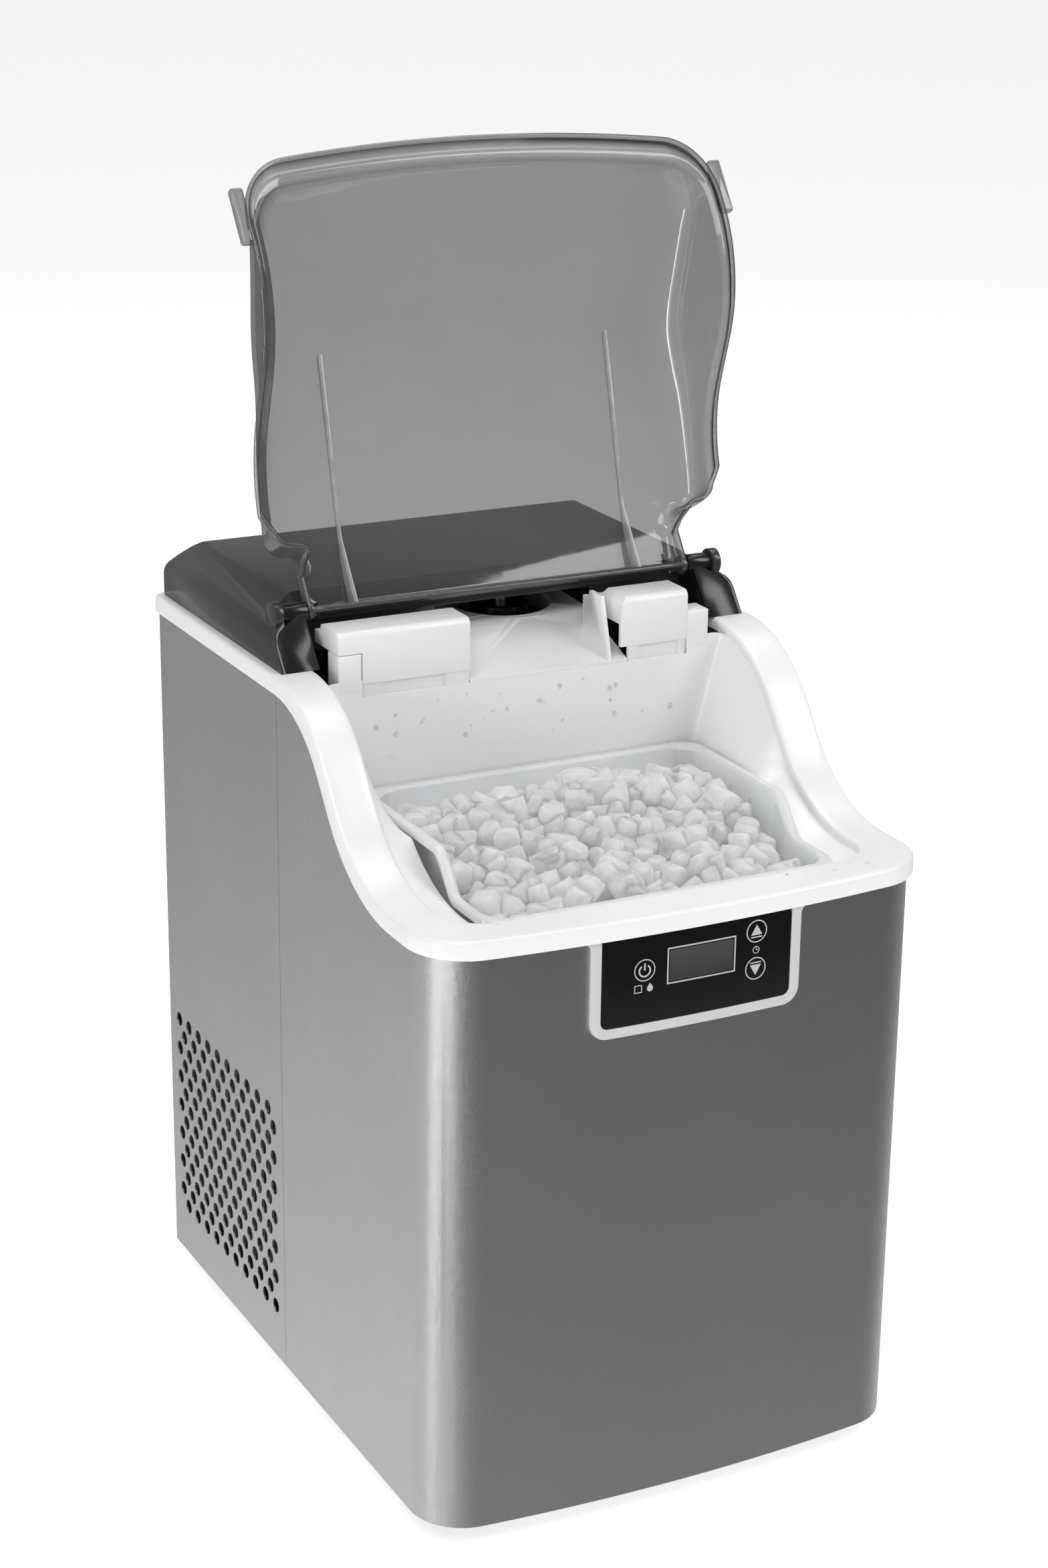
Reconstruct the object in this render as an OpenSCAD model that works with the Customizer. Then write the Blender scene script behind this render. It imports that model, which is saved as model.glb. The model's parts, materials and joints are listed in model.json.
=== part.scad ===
// Countertop nugget ice maker with a smoked lid, shown with the lid open.
// Millimetres. X is the width, Y the depth with the front at -Y, Z is up.
// The origin is on the surface it stands on, in the middle of the footprint.

/* [Body] */
// Width of the steel body
body_w = 270; // [260:1:276]
// Furthest point of the bowed front sheet from the middle
front_reach = 178; // [176:1:180]
// How far the front sheet bows out at its middle
front_bow = 8.9; // [7:0.1:10]
// Radius of the two front corners
corner_r = 28.5; // [26:0.5:31]
// Height of the rubber feet
foot_h = 12; // [12:1:14]
// Thickness of the steel sheet
sheet_t = 0.8; // [0.7:0.1:1]

/* [Top frame] */
// Height of the rim at the back
rim_rear_z = 402; // [401:1:403]
// Height of the rim at the front
rim_front_z = 323; // [322:1:324]
// Depth at which the rim starts to fall towards the front
fall_y = 10; // [9:1:11]
// Radius of the upper bend of the rim
upper_bend_r = 76; // [74:1:77]
// Radius of the lower bend of the rim
lower_bend_r = 78; // [76:1:80]
// Steepest slope of the rim
fall_angle = 52.5; // [52:0.5:54]
// How far the rim stands out over the steel
rim_over = 3; // [2.5:0.1:3]
// Height of the rim's edge band
rim_band = 9.5; // [9:0.5:10]
// Half width of the rim's opening
mouth_x = 115; // [113:1:116]
// Front edge of the rim's opening
mouth_y = -154; // [-155:1:-153]

/* [Ice bin] */
// Half width of the basket over its lip
basket_x = 98; // [96:1:98]
// Height of the basket's lip at the back
lip_rear_z = 340; // [339:1:341]
// Height of the basket's lip at the front
lip_front_z = 320; // [319:1:321]
// Height of the bin's floor
bin_floor_z = 192; // [191:1:193]

/* [Lid] */
// Angle that the lid stands open
lid_open = 125; // [122:1:126]
// Depth of the lid's hinge line
hinge_y = 33.5; // [33:0.5:34]
// Height of the lid's hinge line
hinge_z = 426; // [425.5:0.5:426]
// Half width of the lid's hood
hood_x = 130; // [129:0.5:130]
// Half width of the lid's flange
flange_x = 132.5; // [132:0.5:133]
// Furthest point of the lid's flange
flange_y = -173; // [-174:1:-172]
// Wall of the lid
lid_t = 2.4; // [2.2:0.1:2.6]
// Radius of the two hinge pins
pin_r = 3; // [2.8:0.1:3.2]

/* [Control panel] */
// Half width of the dark overlay
overlay_x = 52; // [50:1:53]
// Lower edge of the dark overlay
overlay_low = 268.5; // [268:0.5:269]
// Upper edge of the dark overlay
overlay_high = 315; // [314.5:0.5:315]

/* [Side vents] */
// Diameter of each vent hole
vent_d = 8; // [6:0.5:8]
// Spacing of the holes in a row
vent_pitch = 14.35; // [14:0.05:14.4]
// Spacing of the rows
vent_row = 8.8; // [8.6:0.1:8.8]
// Number of rows
vent_rows = 14; // [10:1:14]
// Number of holes in a row
vent_cols = 10; // [8:1:10]

/* [Drive] */
// Module of the drive gears
gear_module = 1.5; // [1.5:0.1:1.5]
// Teeth of the motor's pinion
pinion_teeth = 12; // [12:1:12]
// Teeth of the gear on the auger
wheel_teeth = 60; // [60:1:60]

/* [Hidden] */
$fn = 64;
half_w = body_w / 2;
rear_y = 177;                       // back edge of the steel sides
rim_rear_y = rear_y + 4;            // back of the rim
seam_y = 13.5;                      // joint between front and side sheets
bow_r = (half_w * half_w + front_bow * front_bow) / (2 * front_bow);
bow_y = bow_r - front_reach;
gap = 0.4;                          // clearance between fixed pieces
cover_y = 50;                       // front edge of the rear cover's flat top
cover_z = 432.5;                    // top of the rear cover
cover_x = 133;
cover_rear = 174;
post_y = 10;
post_x = 112.5;
barrel_r = 5.2;
barrel_in = 110.5;
barrel_out = 124;
deck_z = 422;                       // top of the chute covers
chute_z = 389;                      // front lip of the ice chute
chute_left = -33;
chute_right = 47;
slot_x = 93.5;                      // outer ends of the chute covers
shoulder_x = 106.5;                 // outer ends of the shoulders beside the chute
shoulder_z = 410.3;                 // top of the shoulders
evap = [20, 75];                    // axis of the evaporator and auger
outlet_z = 405;                     // top of the evaporator barrel
motor_at = [evap[0] - gear_module * (pinion_teeth + wheel_teeth) / 2, evap[1]];
gear_z = 196;
gear_h = 10;
fan_at = [-80, 96, 96];             // centre of the condenser fan
fan_r = 50;
pump_at = [-62, -60];
float_at = [70, -70];
tank_low = 60;
tank_high = 176;
drain_at = [-88, 40];               // X and Z of the drain spout in the back
inlet_at = [84, 44];                // X and Z of the power inlet in the back
foot_x = 108;
foot_y = 138;
power_key_at = [-29.3, 295.8];      // X and Z of the keys on the overlay
up_key_at = [31.9, 305.1];
down_key_at = [31.9, 285.9];
KEYS = [power_key_at, up_key_at, down_key_at];
display_at = [1.5, 295.8];
display_size = [37.5, 18.5];

// ---- outlines -------------------------------------------------------------

// Points of an arc about c, from angle a0 to a1, in n steps.
function arc(c, r, a0, a1, n) =
    [for (i = [0:n]) c + r * [cos(a0 + (a1 - a0) * i / n), sin(a0 + (a1 - a0) * i / n)]];

// Plan of the body grown by off: bowed front, round front corners, back edge at back.
function body_plan(off, back, back_r) =
    let (side = half_w - corner_r,
         cy = bow_y - sqrt(pow(bow_r - corner_r, 2) - side * side),
         turn = atan2(cy - bow_y, side),
         r = corner_r + off,
         w = half_w + off)
    concat(
        arc([w - back_r, back - back_r], back_r, 90, 0, 8),
        arc([side, cy], r, 0, turn, 20),
        arc([0, bow_y], bow_r + off, turn, -180 - turn, 24),
        arc([-side, cy], r, -180 - turn, -180, 20),
        arc([back_r - w, back - back_r], back_r, 180, 90, 8));

// The rim's fall in the YZ plane, moved square to itself by off, from back to front.
function fall_line(off) =
    let (n = [-sin(fall_angle), cos(fall_angle)],
         c1 = [fall_y, rim_rear_z - upper_bend_r],
         p1 = c1 + upper_bend_r * n,
         p2z = rim_front_z + lower_bend_r * (1 - cos(fall_angle)),
         p2 = [p1[0] - (p1[1] - p2z) / tan(fall_angle), p2z],
         c2 = p2 + lower_bend_r * n)
    concat(
        [[rim_rear_y + 10, rim_rear_z - off]],
        arc(c1, upper_bend_r - off, 90, 90 + fall_angle, 16),
        arc(c2, lower_bend_r + off, 270 + fall_angle, 270, 16),
        [[-front_reach - 20, rim_front_z - off]]);

// Rectangle with round corners, from low to high.
module round_rect(low, high, r) {
    x0 = low[0];
    y0 = low[1];
    x1 = high[0];
    y1 = high[1];
    polygon(concat(arc([x1 - r, y1 - r], r, 90, 0, 8), arc([x1 - r, y0 + r], r, 0, -90, 8),
        arc([x0 + r, y0 + r], r, -90, -180, 8), arc([x0 + r, y1 - r], r, 180, 90, 8)));
}

// Extrudes a YZ outline along X, from x0 to x1.
module along_x(x0, x1) {
    translate([x0, 0, 0]) rotate([90, 0, 90]) linear_extrude(x1 - x0) children();
}

// Extrudes an XZ outline along Y, from y0 to y1.
module along_y(y0, y1) {
    translate([0, y1, 0]) rotate([90, 0, 0]) linear_extrude(y1 - y0) children();
}

// Everything below the rim's fall moved by off.
module under_fall(off) {
    along_x(-half_w - 20, half_w + 20)
        polygon(concat(fall_line(off), [[-front_reach - 20, -10], [rim_rear_y + 10, -10]]));
}

module box(low, high) {
    translate(low) cube(high - low);
}

// Unit vector, and the corner points of an eight-sided ring about a tube's line.
function unit(v) = v / norm(v);
function tube_ring(points, i, r) =
    let (last = len(points) - 1,
         before = i == 0 ? points[1] - points[0] : points[i] - points[i - 1],
         after = i == last ? before : points[i + 1] - points[i],
         t = unit(unit(before) + unit(after)),
         u = unit(cross(t, [0.6, 0.7, -0.4])),
         v = cross(t, u))
    [for (k = [0:7]) points[i] + r * (cos(45 * k) * u + sin(45 * k) * v)];

// Bent tube through the points.
module tube(points, d) {
    n = len(points);
    polyhedron([for (i = [0:n - 1]) each tube_ring(points, i, d / 2)], concat(
        [[7, 6, 5, 4, 3, 2, 1, 0]],
        [for (i = [0:n - 2], k = [0:7]) let (j = (k + 1) % 8)
            each [[8 * i + k, 8 * i + j, 8 * i + 8 + j], [8 * i + k, 8 * i + 8 + j, 8 * i + 8 + k]]],
        [[for (k = [0:7]) 8 * (n - 1) + k]]));
}

module mirrored_x() {
    children();
    mirror([1, 0, 0]) children();
}

// ---- casing ---------------------------------------------------------------

module base_pan() {
    color("dimgray") difference() {
        union() {
            translate([0, 0, foot_h]) linear_extrude(3) polygon(body_plan(-sheet_t - gap, 169, 4));
            translate([0, 0, foot_h]) linear_extrude(16) difference() {
                polygon(body_plan(-sheet_t - gap, 169, 4));
                polygon(body_plan(-sheet_t - gap - 2, 167, 4));
            }
        }
        for (x = [-foot_x, foot_x], y = [-foot_y, foot_y])
            translate([x, y, 0]) cylinder(r = 3.2, h = 40);
        for (i = [-3:3]) box([i * 24 - 5, -40, 0], [i * 24 + 5, 20, 40]);
    }
}

module foot(x, y) {
    color("black") translate([x, y, 0]) difference() {
        union() {
            cylinder(r1 = 12, r2 = 14, h = foot_h);
            translate([0, 0, foot_h]) cylinder(r = 3, h = 5);
        }
        translate([0, 0, -1]) cylinder(r = 2, h = 6);
    }
}

module front_panel() {
    color("lightgray") difference() {
        intersection() {
            translate([0, 0, foot_h]) linear_extrude(500) difference() {
                polygon(body_plan(0, rear_y, 4));
                polygon(body_plan(-sheet_t, rear_y + 5, 4));
            }
            under_fall(4);
            box([-half_w - 5, -front_reach - 5, 0], [half_w + 5, seam_y - 0.15, 500]);
        }
        box([-overlay_x - 1, -front_reach - 5, overlay_low - 1], [overlay_x + 1, -150, 500]);
    }
}

module side_panel() {
    color("lightgray") difference() {
        union() {
            intersection() {
                box([half_w - sheet_t, seam_y + 0.15, foot_h], [half_w, rear_y, 500]);
                under_fall(4);
            }
            box([half_w - 10, rear_y - sheet_t, foot_h], [half_w, rear_y, rim_rear_z - 12]);
        }
        along_x(half_w - 2, half_w + 1) vent_holes();
    }
}

// Staggered rows of vent holes, in the YZ plane.
module vent_holes() {
    for (row = [0:vent_rows - 1], i = [0:vent_cols - 1])
        translate([162.7 - vent_pitch * (i + (row % 2) / 2), 156.8 - vent_row * row])
            circle(d = vent_d, $fn = 24);
}

module rear_panel() {
    color("dimgray") difference() {
        box([-half_w + sheet_t + gap, 171, foot_h + 3.2],
            [half_w - sheet_t - gap, 174, rim_rear_z - 4]);
        for (i = [0:10]) along_y(160, 180) round_rect([-50, 190 + i * 14], [50, 196 + i * 14], 2.9);
        for (i = [0:8]) along_y(160, 180) round_rect([-46, 50 + i * 12], [30, 55 + i * 12], 2.4);
        translate([drain_at[0], 160, drain_at[1]]) rotate([-90, 0, 0]) cylinder(r = 10.2, h = 30);
        along_y(160, 180) round_rect([inlet_at[0] - 14, inlet_at[1] - 10.2],
            [inlet_at[0] + 14, inlet_at[1] + 10.2], 3);
        for (p = SCREWS) translate([p[0], 160, p[1]]) rotate([-90, 0, 0]) cylinder(r = 2.1, h = 30);
    }
}

SCREWS = [for (x = [-118, 118], z = [30, 200, 380]) [x, z]];

module rear_screws() {
    color("silver") for (p = SCREWS) translate([p[0], 0, p[1]]) {
        translate([0, 174.05, 0]) rotate([-90, 0, 0]) cylinder(r = 4, h = 2.2);
        translate([0, 162, 0]) rotate([-90, 0, 0]) cylinder(r = 2, h = 12.5);
    }
}

module foot_nuts() {
    color("silver") for (x = [-foot_x, foot_x], y = [-foot_y, foot_y])
        translate([x, y, foot_h + 3.05]) difference() {
            cylinder(r = 5.5, h = 2, $fn = 6);
            translate([0, 0, -1]) cylinder(r = 3.02, h = 5);
        }
}

// ---- rim, bin and basket --------------------------------------------------

// Space inside the bin, from its floor up past the rim.
module bin_space() {
    intersection() {
        along_x(-mouth_x, mouth_x) polygon([[mouth_y, 600], [mouth_y, rim_front_z - 6],
            [mouth_y + 2, bin_floor_z], [0.5, bin_floor_z], [0.5, 600]]);
        union() {
            along_y(-300, 300) polygon([[-basket_x - 1.5, 0], [-basket_x - 1.5, lip_rear_z],
                [-mouth_x, rim_rear_z], [-mouth_x, 600], [mouth_x, 600], [mouth_x, rim_rear_z],
                [basket_x + 1.5, lip_rear_z], [basket_x + 1.5, 0]]);
            difference() {
                box([-mouth_x, mouth_y - 1, 0], [mouth_x, 50, 600]);
                under_fall(6);
            }
        }
        linear_extrude(600) round_rect([-mouth_x, mouth_y], [mouth_x, 40], 22);
    }
}

module top_frame() {
    wall = 2.5;
    color("white") {
        difference() {
            union() {
                // edge band and top skin of the rim
                difference() {
                    intersection() {
                        linear_extrude(600) polygon(body_plan(rim_over, rim_rear_y, 8));
                        under_fall(0);
                    }
                    under_fall(rim_band);
                    intersection() {
                        linear_extrude(600) polygon(body_plan(gap, rear_y + 0.5, 4));
                        under_fall(3);
                    }
                    box([-120, 14, 300], [120, 165, 600]);
                }
                // outside of the bin
                intersection() {
                    under_fall(1);
                    union() {
                        box([-basket_x - 1.5 - wall, mouth_y - wall, bin_floor_z - wall],
                            [basket_x + 1.5 + wall, 0.5 + wall, chute_z - 2]);
                        along_y(mouth_y - wall, 0.5 + wall) polygon([
                            [-basket_x - 4, lip_front_z - 30], [-mouth_x - wall, lip_front_z - 12],
                            [-mouth_x - wall, 600], [mouth_x + wall, 600],
                            [mouth_x + wall, lip_front_z - 12], [basket_x + 4, lip_front_z - 30]]);
                    }
                }
            }
            bin_space();
            // way through for the chute and its covers
            box([-slot_x, -20, chute_z - 2], [slot_x + 0.5, 60, 600]);
            translate([0, -60, bin_floor_z - 10]) cylinder(r = 6, h = 20);
            // room for the control panel in the front band
            intersection() {
                box([-overlay_x - 0.3, -200, overlay_low], [overlay_x + 0.3, -170, overlay_high + 0.3]);
                linear_extrude(600) difference() {
                    translate([0, bow_y]) circle(r = bow_r + 10, $fn = 720);
                    translate([0, bow_y]) circle(r = bow_r - 3, $fn = 720);
                }
            }
        }
        // shoulders beside the chute
        mirrored_x() box([slot_x + 0.7, 0.6, rim_rear_z - 8], [shoulder_x, 14, shoulder_z]);
        // pads that carry the basket
        for (x = [-70, 70], y = [-130, -20]) translate([x, y, bin_floor_z]) cylinder(r = 6, h = 1.7);
    }
}

module bin_insulation() {
    color("khaki") difference() {
        box([-basket_x - 20, mouth_y - 2.9, bin_floor_z - 14], [basket_x + 20, 14, 285]);
        box([-basket_x - 4.4, mouth_y - 3.5, bin_floor_z - 2.9], [basket_x + 4.4, 3.4, 300]);
        translate([0, -60, bin_floor_z - 20]) cylinder(r = 6, h = 20);
    }
}

// Lip line of the basket in the YZ plane, high at the back and low at the front.
function lip_line(drop) =
    let (a = 75, start = -91, r = (lip_rear_z - lip_front_z) / 2 / (1 - cos(a)))
    concat([[10, lip_rear_z - drop]],
        arc([start, lip_rear_z - r], r - drop, 90, 90 + a, 8),
        arc([start - 2 * r * sin(a), lip_front_z + r], r + drop, 270 + a, 270, 8),
        [[-160, lip_front_z - drop]]);

module under_lip(drop) {
    along_x(-120, 120) polygon(concat(lip_line(drop), [[-160, 0], [10, 0]]));
}

module ice_basket() {
    wall = 2;
    low = bin_floor_z + 2;
    color("whitesmoke") difference() {
        union() {
            intersection() {
                basket_block(0, low);
                under_lip(0);
            }
            difference() {
                intersection() {
                    linear_extrude(600) round_rect([-basket_x, -150.5], [basket_x, -0.5], 14);
                    under_lip(0);
                }
                under_lip(2);
            }
        }
        basket_block(-wall, low + wall);
        for (i = [-4:4], j = [0:5]) translate([i * 18, -126 + j * 20, low - 5]) cylinder(r = 2.5, h = 20);
    }
}

// Tapered block with the basket's outline, grown by off and starting at height low.
module basket_block(off, low) {
    intersection() {
        along_y(-300, 300) polygon([[-basket_x + 9 - off, low], [-basket_x + 3 - off, 500],
            [basket_x - 3 + off, 500], [basket_x - 9 + off, low]]);
        along_x(-300, 300) polygon([[-144 - off, low], [-148 - off, 500],
            [-3 + off, 500], [-8 + off, low]]);
        linear_extrude(600) round_rect([-basket_x + 3 - off, -148 - off], [basket_x - 3 + off, -3 + off],
            12 + off);
    }
}

module nugget_ice() {
    color("aliceblue") intersection() {
        basket_block(-2.6, bin_floor_z + 4.6);
        along_x(-300, 300) polygon([[-300, 0], [-300, 306], [-120, 308], [-70, 318], [-30, 322],
            [0, 316], [0, 0]]);
        along_y(-300, 300) polygon([[-100, 0], [-100, 304], [-60, 314], [0, 322], [60, 318],
            [100, 306], [100, 0]]);
    }
}

// ---- rear cover, posts and lid ---------------------------------------------

// Half section of the rear cover in the XZ plane, as a full outline.
module cover_section(off) {
    x = cover_x - off;
    z = cover_z - off;
    right = concat([[x, rim_rear_z + 0.1]],
        arc([x - 8, rim_rear_z + 12], 8, 0, 48, 5),
        arc([x - 24, z - 9], 9, 48, 90, 5));
    polygon(concat(right, [for (i = [len(right) - 1:-1:0]) [-right[i][0], right[i][1]]]));
}

// Depth of the leaning front face of the posts and cover at height z.
function lean(z) = post_y + 0.775 * (z - rim_rear_z);

module rear_cover() {
    step_y = 42.5;
    step_z = cover_z - 13;
    color([0.25, 0.25, 0.26]) difference() {
        union() {
            intersection() {
                along_y(post_y, cover_rear) cover_section(0);
                along_x(-150, 150) polygon(concat([[post_y, rim_rear_z + 0.1], [lean(cover_z), cover_z]],
                    arc([cover_rear - 14, cover_z - 14], 14, 90, 0, 8),
                    [[cover_rear, rim_rear_z + 0.1]]));
            }
            // round caps over the outer ends of the hinge barrels
            mirrored_x() translate([barrel_out + 0.4, hinge_y, hinge_z]) rotate([0, 90, 0])
                cylinder(r = barrel_r + 1.8, h = 4.5);
        }
        // hollow, open below
        intersection() {
            along_y(0, cover_rear - 2.5) cover_section(2.2);
            along_x(-150, 150) polygon([[step_y + 2.2, 0], [step_y + 2.2, step_z - 1.2],
                [cover_y + 1.2, cover_z - 2.5], [cover_rear - 15, cover_z - 2.5],
                [cover_rear - 2.5, cover_z - 15], [cover_rear - 2.5, 0]]);
        }
        // pockets of the hinge posts
        intersection() {
            along_y(0, step_y) cover_section(2.2);
            box([-150, 0, 0], [150, step_y, cover_z - 7]);
        }
        // open between the hinge posts and around their barrels, with a sloping step behind
        along_x(-post_x - 0.4, post_x + 0.4) polygon([[0, 300], [0, 600], [cover_y, 600],
            [cover_y, cover_z], [step_y, step_z], [step_y, 300]]);
        along_x(-barrel_out - 0.4, barrel_out + 0.4) polygon([[0, hinge_z - 7], [0, 600],
            [cover_y, 600], [cover_y, cover_z], [step_y, step_z], [step_y, hinge_z - 7]]);
        // way through for the chute
        box([chute_left - 0.4, step_y - 1, 300], [58.4, step_y + 3.4, step_z - 2]);
        // seam of the cover's right part
        box([84, 56, cover_z - 0.5], [84.6, 166, cover_z + 5]);
    }
}

module hinge_post() {
    color("black") difference() {
        union() {
            intersection() {
                along_x(post_x, cover_x) polygon([[post_y + 0.1, rim_rear_z + 0.1],
                    [hinge_y - barrel_r, lean_top()], [hinge_y, hinge_z - 1],
                    [42, hinge_z - 5], [42, rim_rear_z + 0.1]]);
                along_y(0, 60) cover_section(2.4);
            }
            translate([barrel_in, hinge_y, hinge_z]) rotate([0, 90, 0])
                cylinder(r = barrel_r, h = barrel_out - barrel_in);
        }
        translate([barrel_in - 1, hinge_y, hinge_z]) rotate([0, 90, 0])
            cylinder(r = pin_r + 0.05, h = 10.5);
    }
}

// Height at which the leaning face of a post meets its barrel.
function lean_top() = rim_rear_z + (hinge_y - barrel_r - post_y) / 0.775;

// Outer profile of the lid's hood in the YZ plane, lowered by off.
function hood_line(off) = [[35.5 - off, hinge_z + 7.5 - off], [10, 431.5 - off], [-94, 394 - off],
    [-161.5 + off, 329 - off], [-161.5 + off, 0], [35.5 - off, 0]];

// Plan of the lid, half width w and front edge at y, with a narrower neck between the posts.
// The shoulders' walls lie back by off.
module lid_plan(w, y, r, neck, off) {
    shoulder = [[neck, 60], [neck, 8 - off], [w, 2 - off]];
    polygon(concat(shoulder, arc([w - r, y + r + 4], r, 0, -78, 10), [[0, y]],
        arc([-w + r, y + r + 4], r, -102, -180, 10), [for (i = [2:-1:0]) [-shoulder[i][0], shoulder[i][1]]]));
}

module lid_closed() {
    neck = barrel_in - 0.8;
    difference() {
        union() {
            intersection() {
                linear_extrude(600) lid_plan(hood_x, -161.5, 24, neck, 0);
                along_x(-150, 150) polygon(hood_line(0));
                lid_floor(0.6);
            }
            // flange around the open side
            intersection() {
                linear_extrude(600) lid_plan(flange_x, flange_y, 24, neck, 0);
                under_fall(-4.6);
                lid_floor(0.6);
                box([-150, -300, 0], [150, 2, 600]);
            }
            // finger tabs
            mirrored_x() box([flange_x - 1, -152, rim_front_z + 0.6], [137.5, -122, rim_front_z + 6]);
        }
        // inside of the hood
        difference() {
            intersection() {
                linear_extrude(600) lid_plan(hood_x - lid_t, -161.5 + lid_t, 22, neck - lid_t, lid_t);
                along_x(-150, 150) polygon(hood_line(lid_t));
            }
            mirrored_x() lid_rib();
        }
        // nothing hangs below the hinge between the posts
        box([-neck - 5, 8, 0], [neck + 5, 60, hinge_z - 4.5]);
    }
    // bosses of the two hinge pins
    mirrored_x() translate([neck - 3.2, hinge_y, hinge_z]) rotate([0, 90, 0]) cylinder(r = 5, h = 3.2);
}

// Space above the rim's fall moved up by lift.
module lid_floor(lift) {
    difference() {
        box([-200, -300, 0], [200, 100, 600]);
        under_fall(-lift);
    }
}

// Triangular rib inside the lid, deeper towards the hinge.
module lid_rib() {
    intersection() {
        box([81, -92, 0], [83.6, 36, 600]);
        along_x(70, 90) polygon([[-90, 600], [-90, 391.5], [-4, 418], [6, deck_z + 1.7],
            [36, deck_z + 1.7], [36, 600]]);
    }
}

module opened() {
    translate([0, hinge_y, hinge_z]) rotate([-lid_open, 0, 0]) translate([0, -hinge_y, -hinge_z]) children();
}

module lid() {
    color([0.35, 0.35, 0.36, 0.5]) opened() lid_closed();
}

module lid_pins() {
    color("silver") mirrored_x() translate([barrel_in - 0.8, hinge_y, hinge_z]) rotate([0, 90, 0])
        cylinder(r = pin_r, h = 10);
}

// ---- control panel ----------------------------------------------------------

// Slice of the bowed front between two depths behind and in front of the sheet's surface.
module bowed(back, front) {
    linear_extrude(600) difference() {
        translate([0, bow_y]) circle(r = bow_r + front, $fn = 720);
        translate([0, bow_y]) circle(r = bow_r + back, $fn = 720);
    }
}

module panel_bezel() {
    color("lightgray") difference() {
        intersection() {
            union() {
                intersection() {
                    bowed(0.1, 1.4);
                    along_y(-300, 0) round_rect([-57.5, 263.5], [57.5, 330], 9);
                }
                intersection() {
                    bowed(-3, 1.4);
                    along_y(-300, 0) round_rect([-overlay_x - 0.7, overlay_low - 0.7],
                        [overlay_x + 0.7, overlay_high + 10], 4);
                }
            }
            box([-80, -200, 0], [80, -150, rim_front_z - rim_band - 0.1]);
        }
        intersection() {
            bowed(-0.6, 10);
            along_y(-300, 0) round_rect([-overlay_x, overlay_low], [overlay_x, overlay_high + 20], 4);
        }
        for (k = KEYS) translate([k[0], -150, k[1]]) rotate([90, 0, 0]) cylinder(r = 3, h = 50);
    }
}

module control_overlay() {
    color([0.08, 0.08, 0.08]) difference() {
        intersection() {
            bowed(-0.5, 1.6);
            along_y(-300, 0) round_rect([-overlay_x + 0.1, overlay_low + 0.1],
                [overlay_x - 0.1, overlay_high], 4);
        }
        intersection() {
            bowed(0.6, 5);
            along_y(-300, 0) display_outline(1.2);
        }
    }
}

module display_outline(edge) {
    translate(display_at) square(display_size + [-2 * edge, -2 * edge], center = true);
}

module display_window() {
    color([0.3, 0.3, 0.3]) intersection() {
        bowed(0.65, 1.6);
        along_y(-300, 0) display_outline(1.3);
    }
}

module panel_icons() {
    color("silver") intersection() {
        bowed(1.65, 1.85);
        along_y(-300, 0) {
            difference() {
                display_outline(0);
                display_outline(1.2);
            }
            for (k = [up_key_at, down_key_at]) translate(k) difference() {
                circle(r = 5.8);
                circle(r = 5);
            }
            translate(up_key_at) polygon(arc([0, -0.4], 3.6, 90, 330, 2));
            translate(down_key_at) polygon(arc([0, 0.4], 3.6, 30, 270, 2));
            translate(power_key_at) {
                difference() {
                    circle(r = 5.6);
                    circle(r = 4.7);
                    translate([-1.6, 2]) square([3.2, 6]);
                }
                translate([-0.55, 0.5]) square([1.1, 6]);
            }
        }
    }
}

module control_board() {
    color("darkgreen") box([-48, -168.6, 272], [48, -167, 312]);
}

module switch_bodies() {
    color("dimgray") for (k = KEYS) translate([k[0], -168.65, k[1]]) rotate([90, 0, 0]) difference() {
        cylinder(r = 3, h = 3.2);
        translate([0, 0, 0.6]) cylinder(r = 1.55, h = 5);
    }
}

module switch_stem(k) {
    surface = bow_y - sqrt(pow(bow_r - 0.6, 2) - k[0] * k[0]);
    color("white") translate([k[0], surface + 0.1, k[1]]) rotate([-90, 0, 0])
        cylinder(r = 1.5, h = -169.8 - surface);
}

// ---- ice outlet -------------------------------------------------------------

module ice_chute() {
    rise = tan(20);
    color("white") difference() {
        union() {
            // sloping floor with its turned-down front lip
            along_x(chute_left, 58) polygon([[0.7, chute_z - 1.5], [3.2, chute_z - 1.5],
                [3.2, chute_z], [110, chute_z + 106.8 * rise - 22], [110, chute_z + 109.3 * rise - 20],
                [46, chute_z + 45.3 * rise], [0.7, chute_z]]);
            // right fin and left wall
            along_x(chute_right, chute_right + 2) polygon([[0.7, chute_z], [10.5, deck_z - 0.5],
                [23, deck_z - 0.5], [24.5, deck_z - 4.5], [30, deck_z - 4.5], [30, 396]]);
            along_x(chute_left, chute_left + 2) polygon([[6, chute_z + 1], [6, 414], [30, 418], [30, 396]]);
            translate([evap[0], evap[1], outlet_z - 10]) cylinder(r = 32, h = 10);
        }
        translate([evap[0], evap[1], 0]) cylinder(r = 28.5, h = 600);
    }
}

// One cover beside the chute, with a skirt in front that ends at low.
module cover_block(x0, x1, low) {
    along_x(x0, x1) polygon(concat([[30, low + 12], [3, low + 12], [3, low], [0.7, low]],
        arc([4.2, deck_z - 3.5], 3.5, 180, 90, 5), [[22, deck_z], [24, deck_z - 4.5], [30, deck_z - 4.5]]));
}

// Strip below a cover, down to the edge of the rear wall, with a tab at each end.
module cover_strip(x0, x1, low, tab_left, tab_right) {
    box([x0, 2.2, chute_z - 1.6], [x1, 3.2, low + 1.5]);
    box([x0, 1.2, chute_z - 1.6], [x0 + tab_left, 3.2, low + 1.5]);
    box([x1 - tab_right, 1.2, chute_z - 1.6], [x1, 3.2, low + 1.5]);
}

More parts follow.
